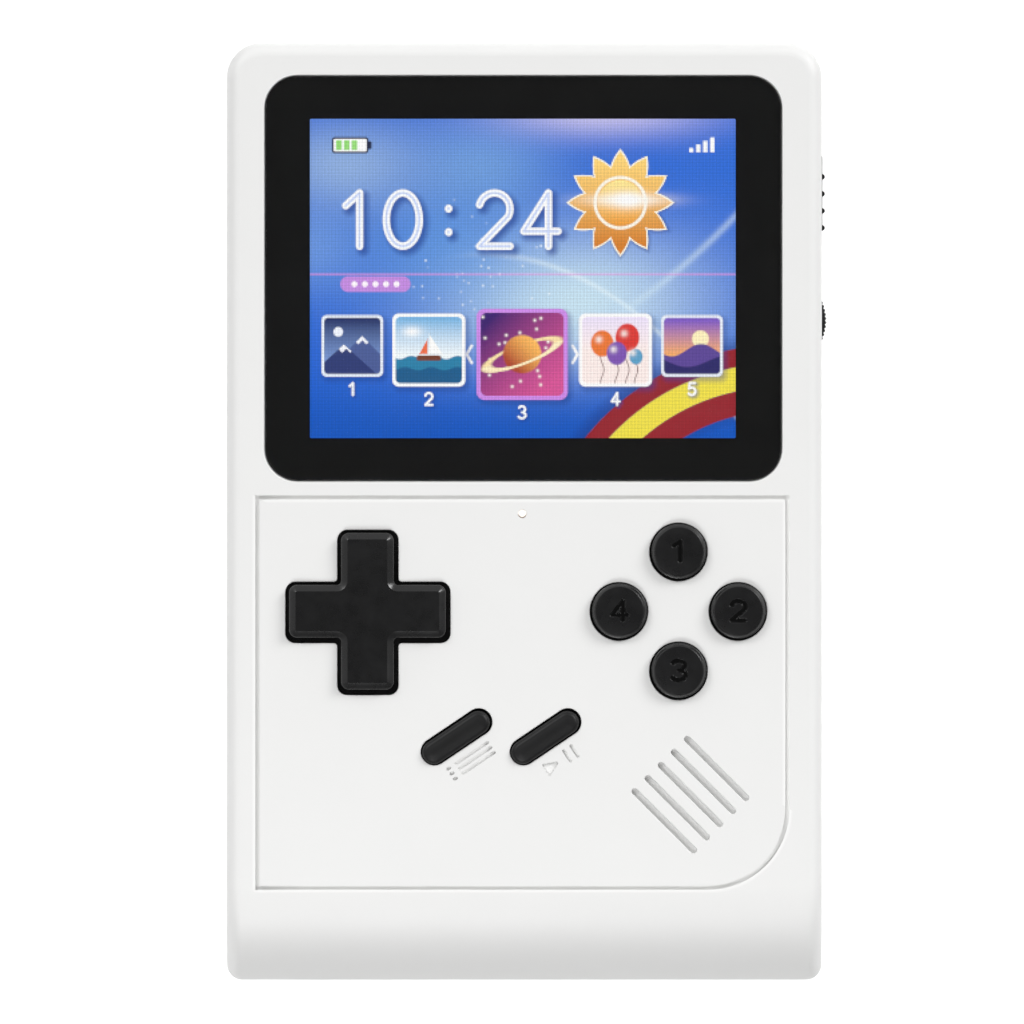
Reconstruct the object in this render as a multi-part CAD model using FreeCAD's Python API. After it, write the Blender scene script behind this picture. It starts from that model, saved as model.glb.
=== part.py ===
import FreeCAD, Part
import math
import os

# Handheld game console, held upright. X to the right, Y to the top edge, Z out of the screen.
# The origin is the middle of the flat rear face. All sizes are in millimetres.

# Display and lens
lcd_active_width = 60.96
lcd_active_height = 45.72
lcd_thickness = 2.6
lcd_border_side = 2.8
lcd_border_top = 2.4
lcd_border_bottom = 5.4
lcd_shift_x = -0.18
lcd_shift_y = 0.06
lcd_glass_margin = 1.2
lcd_glass_step = 0.3
lcd_gasket = 0.4
lcd_gasket_set_back = 0.2
lcd_play = 0.2
lcd_rib = 0.8
lcd_rib_short = 0.4
lens_border_x = 6.32
lens_border_y = 5.99
lens_thickness = 1.0
lens_corner = 4.65
lens_shift_x = -0.14
lens_edge_gap = 0.1
lens_edge_chamfer = 0.2
lens_glue = 0.2
lens_glue_margin = 0.8
lens_glue_set_back = 0.5
window_margin = 0.5
window_corner = 0.8
pad_from_bottom = 15.0
pad_from_top = 1.5
pad_from_side = 3.0
pad_corner = 1.0
ribbon_width = 22.0
ribbon_run = 8.0
ribbon_thickness = 0.12
ribbon_lead = 0.5
ribbon_below_display = 0.4
ribbon_above_board = 0.2
ribbon_clearance = 1.0
connector_overhang = 1.5
connector_depth = 3.6
connector_height = 1.3
latch_from = 2.4
latch_width = 0.8
latch_drop = 0.3
latch_inset = 0.5

# Outline of the housing
lens_side_margin = 5.6
lens_top_margin = 4.75
lens_to_panel = 2.35
panel_height = 55.6
panel_width = 75.5
panel_shift_x = -0.25
lip_reach = 13.2
lip_slope_deg = 59.0
corner_top = 5.0
corner_bottom = 2.2
edge_roll = 1.9
side_wall = 1.8
rear_wall = 1.8
front_wall = 2.0
rim_round = 0.15

# Panel groove
groove_width = 0.6
groove_depth = 0.75
groove_corner = 11.4

# Seam between the shells
tongue_wall = 0.8
tongue_height = 1.2
seam_gap = 0.1
seam_bevel = 0.2

# Depth through the body, from the rear face to the front face
battery_floor = 2.1
battery_thickness = 5.5
battery_headroom = 0.2
bay_roof = 1.4
component_space = 3.6
board_thickness = 1.2
button_space = 5.0
seam_below_board = 2.3

# D-pad
dpad_x = -22.34
dpad_below_panel = 16.2
dpad_span = 22.3
dpad_arm = 7.5
dpad_tip_corner = 1.1
dpad_inner_corner = 0.6
dpad_hole_gap = 0.6
dpad_hole_shift_x = 0.07
dpad_hole_shift_y = -0.19
dpad_proud = 1.8
dpad_bevel_in = 0.75
dpad_bevel_down = 0.45
dpad_dish_depth = 0.35
dpad_flange_radius = 12.2
dpad_flange_thickness = 1.0
dpad_flange_drop = 1.15
dpad_dome_offset = 7.6
dpad_membrane_corner = 6.0
hub_above_pivot = 0.3
pivot_radius = 1.2
pivot_above_board = 2.0
pivot_gap = 0.05

# Round buttons
face_x = 22.04
face_below_panel = 16.14
face_offset = 8.47
face_button_radius = 3.9
face_button_proud = 1.4
face_dome_rise = 0.22
face_edge_round = 0.6
face_hole_shift_x = -0.08
face_hole_shift_y = -0.1
face_stem_inset = 0.9
face_membrane_corner = 4.5
key_width = 1.4
key_reach = 0.7
button_gap = 0.25

# Pill buttons
pill_left_x = -9.72
pill_right_x = 2.96
pill_below_panel = 34.19
pill_tilt_deg = 33.9
pill_length = 10.97
pill_width = 3.37
pill_proud = 0.9
pill_edge = 0.5
pill_hole_shift_x = 0.08
pill_hole_shift_y = 0.1
pill_stem_shorter = 4.0
pill_stem_narrower = 0.4
pill_membrane_corner = 2.0

# Signs pressed into the panel beside the pill buttons: a list and a play sign
sign_shift_x = 2.13
sign_shift_y = -3.31
sign_height = 2.2
sign_stroke = 0.5
sign_depth = 0.45
list_length = 5.8
list_dot_gap = 0.7
play_length = 2.5
pause_spacing = 1.25

# Guides and stops shared by the buttons
flange_width = 0.9
flange_thickness = 1.0
flange_gap = 0.1
stem_drop = 1.3
guide_gap = 0.2
guide_wall = 0.8
guide_depth = 2.6

# Rubber membranes
membrane_sheet = 0.8
membrane_margin = 0.6
dome_base_radius = 3.0
dome_top_radius = 2.0
dome_wall = 0.6
dome_gap = 0.05

# Speaker
speaker_x = 23.66
speaker_below_button = 0.99
speaker_wall = 0.8
speaker_play = 0.15
speaker_radius = 10.0
speaker_basket_depth = 2.5
speaker_basket_wall = 0.6
speaker_cloth = 0.15
speaker_gasket = 0.8
speaker_gasket_width = 1.4
speaker_magnet_radius = 5.5
speaker_magnet_depth = 1.0
speaker_cone_wall = 0.3
speaker_cone_depth = 1.2
speaker_cone_drop = 0.2
speaker_surround = 1.2
speaker_fold = 0.6
speaker_throat_inset = 1.5
speaker_cap_rise = 0.4
speaker_spring_x = 1.8
speaker_spring_width = 1.2
speaker_spring_from = 6.6
speaker_spring_length = 2.2
slot_count = 5
slot_length = 12.7
slot_width = 0.9
slot_pitch = 2.64
slot_tilt_deg = -45.0

# Power light
light_x = -0.28
light_below_panel = 2.34
light_radius = 0.55
light_flange_radius = 1.2
light_flange_thickness = 1.0
light_ring_wall = 0.7
light_ring_depth = 1.2
light_set_back = 0.02
led_length = 1.6
led_width = 0.8
led_height = 0.6
led_gap = 0.3

# Volume wheel
wheel_below_top = 39.55
wheel_radius = 7.0
wheel_stands_out = 0.74
wheel_thickness = 2.6
wheel_gap = 0.3
knurl_pitch = 0.6
knurl_depth = 0.16
wheel_chamfer = 0.3
wheel_pocket_radius = 2.2
wheel_pocket_depth = 0.7
wheel_screw_radius = 2.0
wheel_shaft_radius = 1.4
pot_radius = 4.2
shaft_gap = 0.03

# Power slider
slider_below_top = 21.42
slider_length = 10.6
slider_height = 2.5
slider_stands_out = 0.15
slider_ridge = 0.35
slider_ridge_half = 0.4
slider_ridge_pitch = 2.43
slider_ridge_count = 4
slider_ridge_shift = -1.26
slider_travel = 2.0
slider_gap = 0.15
slider_flange_thickness = 0.8
slider_flange_margin = 0.8
slider_wall_gap = 0.1
lever_width = 1.6
lever_gap = 0.05
lever_root = 1.5
lever_height = 1.2
switch_length = 9.0
switch_width = 3.8
switch_height = 3.4
switch_set_back = 2.0

# Sockets in the top edge
jack_x = -18.0
jack_bore_radius = 1.8
jack_nose_radius = 2.5
jack_width = 6.5
jack_length = 12.0
jack_height = 5.0
port_x = 12.0
port_width = 8.94
port_height = 3.2
port_length = 7.3
port_metal = 0.3
port_tongue_width = 6.4
port_tongue_thickness = 0.7
port_tongue_set_back = 1.2
socket_back_wall = 1.0
socket_set_back = 0.6
socket_gap = 0.15

# Battery, its bay and its door
battery_length = 53.0
battery_width = 34.0
battery_corner = 2.5
battery_above_bottom = 36.8
bay_gap = 1.0
bay_wall = 1.2
door_thickness = 1.6
door_recess = 0.05
door_margin_x = 3.0
door_margin_y = 3.0
door_gap = 0.15
door_corner = 2.0
door_ledge = 1.4
door_tab_reach = 1.5
door_tab_width = 8.0
door_tab_spacing = 36.0
door_tab_thickness = 0.8
door_tab_gap = 0.3
latch_slit_spacing = 12.0
latch_slit_width = 0.6
latch_slit_length = 6.0
grip_from_edge = 12.0
grip_line_depth = 0.35
grip_line_count = 5
grip_line_pitch = 1.6
grip_line_width = 0.6
grip_line_length = 15.0
contact_pitch = 3.2
contact_width = 1.2
contact_thickness = 0.4
contact_slot_margin = 0.6
contact_block_gap = 0.2
contact_block_depth = 3.2
contact_leg = 1.4
contact_nose = 0.6
contact_bend = 0.5
contact_lead = 0.1
battery_edge = 0.6

# Screws and their posts
case_post_inset = 6.4
case_post_from_top = 6.8
case_post_from_bottom = 9.3
side_post_inset = 5.1
side_post_below_panel = 2.0
post_radius = 2.3
well_radius = 2.2
well_wall = 0.9
well_depth = 4.6
well_floor = 1.2
case_head_radius = 1.9
case_head_height = 1.5
case_shank_radius = 1.0
case_screw_reach = 4.6
board_post_radius = 1.9
board_head_radius = 1.5
board_head_height = 1.0
board_shank_radius = 0.75
board_screw_reach = 3.5
board_post_top = 4.3
board_post_middle_x = -0.6
board_post_middle_drop = 14.0
board_post_left_x = -31.0
board_post_left_drop = 44.0
board_post_right_inset = 5.9
board_post_right_drop = 31.0
thread_gap = 0.02
hole_gap = 0.2

# Ribs of the rear wall
rear_rib_drop = 22.0
rear_rib_pitch = 20.0
rear_rib_width = 1.0
rear_rib_height = 2.0

# Board, and the parts on its rear side, each place measured down from the top edge
board_edge_gap = 1.2
board_post_gap = 0.4
board_corner_top = 3.0
board_corner_bottom = 6.0
board_lip_gap = 8.0
chip_height = 1.0
processor_x = -4.0
processor_drop = 46.0
processor_size = 12.0
memory_x = 14.0
memory_drop = 44.0
memory_width = 9.0
memory_length = 13.0
crystal_x = -16.0
crystal_drop = 50.0
crystal_width = 3.2
crystal_length = 6.0
crystal_height = 1.2
passive_x = -26.0
passive_pitch = 3.0
passive_count = 5
capacitor_drop = 30.0
capacitor_length = 1.6
capacitor_width = 0.8
capacitor_height = 0.6
resistor_drop = 33.0
resistor_length = 1.0
resistor_width = 0.5
resistor_height = 0.4
coil_x = -24.0
coil_drop = 40.0
coil_size = 4.0
coil_height = 1.8
can_x = -8.0
can_pitch = 6.0
can_radius = 2.0
can_height = 2.6

# Sizes that follow from the ones above
lens_width = lcd_active_width + 2 * lens_border_x
lens_height = lcd_active_height + 2 * lens_border_y
body_width = lens_width + 2 * lens_side_margin
body_height = lens_top_margin + lens_height + lens_to_panel + panel_height + lip_reach
right_x = body_width / 2
top_y = body_height / 2
bottom_y = -top_y
lens_y = top_y - lens_top_margin - lens_height / 2
panel_top_y = top_y - lens_top_margin - lens_height - lens_to_panel
panel_y = panel_top_y - panel_height / 2
lip_start_y = bottom_y + lip_reach - groove_width / 2
lip_radius = (lip_start_y - bottom_y) / math.sin(math.radians(lip_slope_deg))

bay_roof_z = battery_floor + battery_thickness + battery_headroom
board_rear_z = bay_roof_z + bay_roof + component_space
board_front_z = board_rear_z + board_thickness
wall_z = board_front_z + button_space
front_z = wall_z + front_wall
seam_z = board_rear_z - seam_below_board
lens_seat_z = front_z - lens_thickness - lens_glue

lcd_x = lens_shift_x + lcd_shift_x
lcd_y = lens_y + lcd_shift_y
lcd_width = lcd_active_width + 2 * lcd_border_side
lcd_height = lcd_active_height + lcd_border_top + lcd_border_bottom
lcd_middle_y = lcd_y + (lcd_border_top - lcd_border_bottom) / 2
lcd_front_z = wall_z - lcd_gasket
lcd_rear_z = lcd_front_z - lcd_thickness

dpad_y = panel_top_y - dpad_below_panel
face_y = panel_top_y - face_below_panel
pill_y = panel_top_y - pill_below_panel
guide_outer = face_button_radius + flange_width + guide_gap + guide_wall
speaker_seat = speaker_radius + speaker_play
speaker_outer = speaker_seat + guide_wall
speaker_y = face_y - face_offset - guide_outer - speaker_below_button - speaker_outer
speaker_top_z = front_z - speaker_wall
basket_high_z = speaker_top_z - speaker_cloth - speaker_gasket
basket_low_z = basket_high_z - speaker_basket_depth
light_y = panel_top_y - light_below_panel
wheel_x = right_x + wheel_stands_out - wheel_radius
wheel_y = top_y - wheel_below_top
slider_y = top_y - slider_below_top
battery_y = bottom_y + battery_above_bottom
pivot_z = board_front_z + pivot_above_board
flange_top_z = wall_z - flange_gap
stem_z = flange_top_z - flange_thickness - stem_drop
face_places = {
    "top": (face_x, face_y + face_offset),
    "left": (face_x - face_offset, face_y),
    "right": (face_x + face_offset, face_y),
    "bottom": (face_x, face_y - face_offset),
}
pill_places = {"left": (pill_left_x, pill_y), "right": (pill_right_x, pill_y)}
corner_x = right_x - case_post_inset
side_x = right_x - side_post_inset
case_places = [
    (-corner_x, top_y - case_post_from_top),
    (corner_x, top_y - case_post_from_top),
    (-corner_x, bottom_y + case_post_from_bottom),
    (corner_x, bottom_y + case_post_from_bottom),
    (-side_x, panel_top_y - side_post_below_panel),
    (side_x, panel_top_y - side_post_below_panel),
]
board_places = [
    (0.0, top_y - board_post_top),
    (board_post_middle_x, panel_top_y - board_post_middle_drop),
    (board_post_left_x, panel_top_y - board_post_left_drop),
    (right_x - board_post_right_inset, panel_top_y - board_post_right_drop),
]


# Basic forms

def vec(x, y, z=0.0):
    return FreeCAD.Vector(x, y, z)


def rounded_polygon(points, radii):
    """Flat face through the points, each corner rounded by its radius."""
    count = len(points)
    joints = []
    for i in range(count):
        here = vec(*points[i])
        before = (vec(*points[i - 1]) - here).normalize()
        after = (vec(*points[(i + 1) % count]) - here).normalize()
        radius = radii[i]
        if radius < 0.01:
            joints.append((here, None, here))
            continue
        half = before.getAngle(after) / 2
        reach = radius / math.tan(half)
        bisector = (before + after).normalize()
        middle = here + bisector * (radius / math.sin(half) - radius)
        joints.append((here + before * reach, middle, here + after * reach))
    edges = []
    for i in range(count):
        start, middle, end = joints[i]
        if middle is not None:
            edges.append(Part.Arc(start, middle, end).toShape())
        following = joints[(i + 1) % count][0]
        if (following - end).Length > 0.001:
            edges.append(Part.LineSegment(end, following).toShape())
    return Part.Face(Part.Wire(edges))


def rectangle(x, y, width, height, radius=0.0):
    """Flat rectangle about (x, y); radius is one value, or one for each corner from lower left."""
    half_w = width / 2
    half_h = height / 2
    points = [
        (x - half_w, y - half_h),
        (x + half_w, y - half_h),
        (x + half_w, y + half_h),
        (x - half_w, y + half_h),
    ]
    radii = radius if isinstance(radius, (list, tuple)) else [radius] * 4
    return rounded_polygon(points, radii)


def pill(x, y, length, width, tilt_deg):
    """Flat slot with round ends, turned by tilt_deg about its middle."""
    face = rectangle(0, 0, length, width, width / 2 - 0.001)
    face.rotate(vec(0, 0), vec(0, 0, 1), tilt_deg)
    face.translate(vec(x, y))
    return face


def cross(x, y, span, arm, tip_corner, inner_corner):
    """Flat plus sign with rounded tips and rounded inner corners."""
    tip = span / 2
    side = arm / 2
    quarter = [(side, -tip, tip_corner), (side, -side, inner_corner), (tip, -side, tip_corner)]
    points = []
    radii = []
    for turn in range(4):
        angle = turn * math.pi / 2
        for px, py, radius in quarter:
            points.append((x + px * math.cos(angle) - py * math.sin(angle),
                           y + px * math.sin(angle) + py * math.cos(angle)))
            radii.append(radius)
    return rounded_polygon(points, radii)


def prism(face, low, high):
    """Face carried straight up from low to high."""
    base = face.copy()
    base.translate(vec(0, 0, low))
    return base.extrude(vec(0, 0, high - low))


def taper(low_face, low, high_face, high):
    """Straight-sided solid between two like faces."""
    low_wire = low_face.OuterWire.copy()
    low_wire.translate(vec(0, 0, low))
    high_wire = high_face.OuterWire.copy()
    high_wire.translate(vec(0, 0, high))
    return Part.makeLoft([low_wire, high_wire], True, True)


def post(x, y, radius, low, high):
    return Part.makeCylinder(radius, high - low, vec(x, y, low))


def ring(x, y, outer, inner, low, high):
    return post(x, y, outer, low, high).cut(post(x, y, inner, low - 1, high + 1))


def box(x0, x1, y0, y1, z0, z1):
    return Part.makeBox(x1 - x0, y1 - y0, z1 - z0, vec(x0, y0, z0))


def rod_y(x, z, radius, y0, y1):
    return Part.makeCylinder(radius, y1 - y0, vec(x, y0, z), vec(0, 1, 0))


def turned(x, y, profile):
    """Solid turned about the vertical line through (x, y) from a list of edges in the XZ plane."""
    solid = Part.Face(Part.Wire(profile)).revolve(vec(0, 0), vec(0, 0, 1), 360)
    solid.translate(vec(x, y))
    return solid


def line(x0, z0, x1, z1):
    return Part.LineSegment(vec(x0, 0, z0), vec(x1, 0, z1)).toShape()


def arc(x0, z0, xm, zm, x1, z1):
    return Part.Arc(vec(x0, 0, z0), vec(xm, 0, zm), vec(x1, 0, z1)).toShape()


def join(shapes):
    return shapes[0].multiFuse(shapes[1:]) if len(shapes) > 1 else shapes[0]


def export(name, shape):
    """Write one piece, after joining faces that continue each other."""
    solids = shape.Solids
    if not shape.isValid() or not solids:
        raise RuntimeError(name + " is not a valid solid")
    print(f"{name:24s} solids {len(solids)} faces {len(shape.Faces)} volume {shape.Volume:.1f}")
    piece = solids[0] if len(solids) == 1 else Part.makeCompound(solids)
    piece.exportStep("parts/" + name + ".step")


# Housing forms

def body_outline(inset):
    """Outline of the housing seen from the front, moved inwards by inset."""
    low = max(corner_bottom - inset, 0.3)
    high = max(corner_top - inset, 0.3)
    return rectangle(0, 0, body_width - 2 * inset, body_height - 2 * inset, [low, low, high, high])


def rim_edges(solid, upward):
    """Edges where the front (or rear) skin meets the side walls."""
    skins = []
    for face in solid.Faces:
        u0, u1, v0, v1 = face.ParameterRange
        lean = face.normalAt((u0 + u1) / 2, (v0 + v1) / 2).z
        if lean * upward > 0.3:
            skins.append(face)
    chosen = []
    for face in skins:
        for edge in face.Edges:
            shared = sum(1 for other in skins if any(edge.isSame(mate) for mate in other.Edges))
            if shared == 1:
                chosen.append(edge)
    return chosen


def front_form(side_inset, front_inset, roll):
    """Outer form of the front half: flat face, convex lower lip and rolled edges."""
    top = front_z - front_inset
    form = prism(body_outline(side_inset), seam_z, top)
    radius = lip_radius - front_inset
    centre_z = front_z - lip_radius
    slope = math.radians(lip_slope_deg)

    def on_lip(angle):
        return vec(0, lip_start_y - radius * math.sin(angle), centre_z + radius * math.cos(angle))

    start = on_lip(0)
    end = on_lip(slope)
    run = lip_reach
    far = end + vec(0, -run * math.cos(slope), -run * math.sin(slope))
    high = front_z + run
    path = [
        Part.Arc(start, on_lip(slope / 2), end).toShape(),
        Part.LineSegment(end, far).toShape(),
        Part.LineSegment(far, vec(0, far.y, high)).toShape(),
        Part.LineSegment(vec(0, far.y, high), vec(0, lip_start_y, high)).toShape(),
        Part.LineSegment(vec(0, lip_start_y, high), start).toShape(),
    ]
    cutter = Part.Face(Part.Wire(path)).extrude(vec(2 * body_width, 0, 0))
    cutter.translate(vec(-body_width, 0, 0))
    form = form.cut(cutter)
    if roll > 0:
        form = form.makeFillet(roll, rim_edges(form, 1))
    return form


def rear_form(side_inset, low, roll):
    """Outer form of the rear half, from low up to the seam."""
    form = prism(body_outline(side_inset), low, seam_z)
    if roll > 0:
        form = form.makeFillet(roll, rim_edges(form, -1))
    return form


def seam_edge(solid, at_outside):
    """Small bevel round the outside of a shell at the seam."""
    edges = []
    for edge in solid.Edges:
        bounds = edge.BoundBox
        if abs(bounds.ZMin - seam_z) < 0.001 and abs(bounds.ZMax - seam_z) < 0.001:
            reach = max(abs(bounds.XMin), abs(bounds.XMax)) > right_x - at_outside
            reach = reach or max(abs(bounds.YMin), abs(bounds.YMax)) > top_y - at_outside
            if reach:
                edges.append(edge)
    return solid.makeChamfer(seam_bevel, edges)


def side_slots():
    """Openings in the walls for the wheel, the slider and the two sockets."""
    half_wheel = wheel_thickness / 2 + wheel_gap
    inner_reach = right_x - side_wall - wheel_x
    chord = math.sqrt(wheel_radius ** 2 - inner_reach ** 2) + 2 * wheel_gap
    wheel_slot = box(right_x - 2 * side_wall, right_x + 1, wheel_y - chord, wheel_y + chord,
                     seam_z - half_wheel, seam_z + half_wheel)
    half_slider = slider_height / 2 + slider_gap
    slot_low = slider_y - slider_length / 2 - slider_travel - slider_gap
    slot_high = slider_y + slider_length / 2 + slider_gap
    slider_slot = box(right_x - 2 * side_wall, right_x + 1, slot_low, slot_high,
                      seam_z - half_slider, seam_z + half_slider)
    jack_hole = rod_y(jack_x, jack_z(), jack_nose_radius + socket_gap, top_y - 2 * side_wall, top_y + 1)
    port_slot = port_face(socket_gap).extrude(vec(0, 3 * side_wall, 0))
    port_slot.translate(vec(0, top_y - 2 * side_wall, 0))
    return [wheel_slot, slider_slot, jack_hole, port_slot]


def jack_z():
    return board_rear_z - jack_height / 2


def port_z():
    return board_rear_z - port_height / 2


def port_face(grow):
    """Mouth of the charging port in the XZ plane, made larger all round by grow."""
    width = port_width + 2 * grow
    height = port_height + 2 * grow
    face = rectangle(0, 0, width, height, height / 2 - 0.3)
    face.rotate(vec(0, 0), vec(1, 0, 0), 90)
    face.translate(vec(port_x, 0, port_z()))
    return face


# Holes and guides in the front shell

def panel_groove():
    """Fine groove round the control panel, with one large round corner at the lower right."""
    centre_x = panel_shift_x
    wide = groove_width / 2
    outer = rectangle(centre_x, panel_y, panel_width + groove_width, panel_height + groove_width,
                      [0, groove_corner + wide, 0, 0])
    inner = rectangle(centre_x, panel_y, panel_width - groove_width, panel_height - groove_width,
                      [0, groove_corner - wide, 0, 0])
    low = front_z - groove_depth
    return prism(outer, low, front_z + 1).cut(prism(inner, low - 1, front_z + 2))


def speaker_slots():
    slots = []
    tilt = math.radians(slot_tilt_deg)
    for i in range(slot_count):
        step = (i - (slot_count - 1) / 2) * slot_pitch
        x = speaker_x - step * math.sin(tilt)
        y = speaker_y + step * math.cos(tilt)
        face = pill(x, y, slot_length, slot_width, slot_tilt_deg)
        slots.append(prism(face, speaker_top_z - 1, front_z + 1))
    return slots


def panel_signs():
    """List sign beside the left pill button and play sign beside the right one."""
    step = (sign_height - sign_stroke) / 2
    dot = 1.5 * sign_stroke
    list_start = -(dot + list_dot_gap + list_length) / 2
    list_marks = []
    for row in (-1, 0, 1):
        list_marks.append(pill(list_start + dot / 2, row * step, dot, sign_stroke, 0))
        bar_x = list_start + dot + list_dot_gap + list_length / 2
        list_marks.append(pill(bar_x, row * step, list_length, sign_stroke, 0))
    play_end = play_length / 2 - pause_spacing
    half = sign_height / 2
    corner = sign_stroke / 2
    triangle = [(play_end - play_length, -half), (play_end, 0), (play_end - play_length, half)]
    play_marks = [rounded_polygon(triangle, [corner] * 3)]
    for place in (1, 2):
        play_marks.append(pill(play_end + place * pause_spacing, 0, sign_height, sign_stroke, 90))
    cuts = []
    for side, marks in (("left", list_marks), ("right", play_marks)):
        x, y = pill_places[side]
        for mark in marks:
            mark.rotate(vec(0, 0), vec(0, 0, 1), pill_tilt_deg)
            mark.translate(vec(x + sign_shift_x, y + sign_shift_y))
            cuts.append(prism(mark, front_z - sign_depth, front_z + 1))
    return cuts


def pill_outline(side, grow):
    x, y = pill_places[side]
    return pill(x, y, pill_length + 2 * grow, pill_width + 2 * grow, pill_tilt_deg)


def button_holes():
    """Holes round the buttons, each a little off its button's middle, as loosely held keys sit."""
    low = wall_z - 1
    high = front_z + 1
    dpad_hole = prism(dpad_outline(dpad_hole_gap), low, high)
    dpad_hole.translate(vec(dpad_hole_shift_x, dpad_hole_shift_y))
    holes = [dpad_hole]
    radius = face_button_radius + button_gap
    for x, y in face_places.values():
        holes.append(post(x + face_hole_shift_x, y + face_hole_shift_y, radius, low, high))
    for side in pill_places:
        hole = prism(pill_outline(side, button_gap), low, high)
        hole.translate(vec(pill_hole_shift_x, pill_hole_shift_y))
        holes.append(hole)
    return holes


def soften_rims(shell):
    """Small radius round every hole in the flat front."""
    level = [face for face in shell.Faces if face.BoundBox.ZMin > front_z - 0.001]
    flat = max(level, key=lambda face: face.Area)
    outside = flat.OuterWire
    rims = []
    for wire in flat.Wires:
        if not wire.isSame(outside):
            rims.extend(wire.Edges)
    return shell.makeFillet(rim_round, rims)


def pill_guide(side):
    inner = flange_width + guide_gap
    low = wall_z - guide_depth
    outer_form = prism(pill_outline(side, inner + guide_wall), low, wall_z + 0.5)
    return outer_form.cut(prism(pill_outline(side, inner), low - 1, wall_z))


def face_guide(x, y):
    inner = face_button_radius + flange_width + guide_gap
    low = wall_z - guide_depth
    guide = ring(x, y, inner + guide_wall, inner, low, wall_z + 0.1)
    slot = box(-key_width / 2 - guide_gap, key_width / 2 + guide_gap, 0, 2 * inner, low - 1, wall_z)
    slot.rotate(vec(0, 0), vec(0, 0, 1), key_turn(x, y))
    slot.translate(vec(x, y))
    return guide.cut(slot)


def key_turn(x, y):
    """Turn of the button's key tab, which points away from the middle of the four."""
    return math.degrees(math.atan2(y - face_y, x - face_x)) - 90


def lcd_frame_rib():
    reach = lcd_play + lcd_rib
    outer = rectangle(lcd_x, lcd_middle_y, lcd_width + 2 * reach, lcd_height + 2 * reach)
    inner = rectangle(lcd_x, lcd_middle_y, lcd_width + 2 * lcd_play, lcd_height + 2 * lcd_play)
    low = lcd_rear_z + lcd_rib_short
    frame = prism(outer, low, wall_z + 0.1).cut(prism(inner, low - 1, wall_z + 1))
    half = ribbon_width / 2 + ribbon_clearance
    ribbon_gap = box(lcd_x - half, lcd_x + half, lcd_middle_y - lcd_height, lcd_middle_y,
                     low - 1, lcd_front_z - 0.1)
    return frame.cut(ribbon_gap)


def lens_recess():
    face = rectangle(lens_shift_x, lens_y, lens_width + 2 * lens_edge_gap, lens_height + 2 * lens_edge_gap,
                     lens_corner + lens_edge_gap)
    window = rectangle(lcd_x, lcd_y, lcd_active_width + 2 * window_margin,
                       lcd_active_height + 2 * window_margin, window_corner)
    return [prism(face, lens_seat_z, front_z + 1), prism(window, wall_z - 1, front_z)]


def front_shell():
    shell = front_form(0, 0, edge_roll).cut(front_form(side_wall, front_wall, 0))
    step_inset = side_wall - tongue_wall - seam_gap
    step = prism(body_outline(step_inset), seam_z - 1, seam_z + tongue_height + seam_gap)
    shell = shell.cut(step)
    inner = []
    for x, y in case_places:
        inner.append(post(x, y, post_radius, seam_z, wall_z + 0.5))
    for x, y in board_places:
        inner.append(post(x, y, board_post_radius, board_front_z, wall_z + 0.5))
    for x, y in face_places.values():
        inner.append(face_guide(x, y))
    for side in pill_places:
        inner.append(pill_guide(side))
    inner.append(ring(speaker_x, speaker_y, speaker_outer, speaker_seat, basket_low_z, wall_z + 0.1))
    inner.append(lcd_frame_rib())
    light_seat = light_flange_radius + flange_gap
    inner.append(ring(light_x, light_y, light_seat + light_ring_wall, light_seat,
                      wall_z - light_ring_depth, wall_z + 0.1))
    limit = front_form(side_wall / 2, front_wall / 2, 0)
    shell = join([shell] + [piece.common(limit) for piece in inner])
    openings = lens_recess() + speaker_slots() + button_holes()
    openings.append(post(speaker_x, speaker_y, speaker_seat, wall_z - 1, speaker_top_z))
    openings.append(post(light_x, light_y, light_radius + shaft_gap, wall_z - 1, front_z + 1))
    shell = soften_rims(shell.cut(Part.makeCompound(openings)))
    cuts = side_slots() + panel_signs()
    cuts.append(panel_groove())
    for x, y in case_places:
        cuts.append(post(x, y, case_shank_radius + thread_gap, seam_z - 1, seam_z + case_screw_reach + 0.5))
    for x, y in board_places:
        cuts.append(post(x, y, board_shank_radius + thread_gap, board_front_z - 1,
                         board_front_z + board_screw_reach + 0.3))
    shell = shell.cut(Part.makeCompound(cuts))
    return seam_edge(shell, 0.5)


# Rear shell and the battery bay

def bay_box(grow, low, high):
    """Battery space, made larger all round by grow."""
    face = rectangle(0, battery_y, battery_length + 2 * (bay_gap + grow),
                     battery_width + 2 * (bay_gap + grow), battery_corner)
    return prism(face, low, high)


def door_outline(grow):
    width = battery_length + 2 * (bay_gap + door_margin_x) + 2 * grow
    height = battery_width + 2 * (bay_gap + door_margin_y) + 2 * grow
    return rectangle(0, battery_y, width, height, door_corner + grow)


def door_end_y():
    return battery_y - battery_width / 2 - bay_gap - door_margin_y


def door_tab_places():
    return [-door_tab_spacing / 2, door_tab_spacing / 2]


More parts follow.
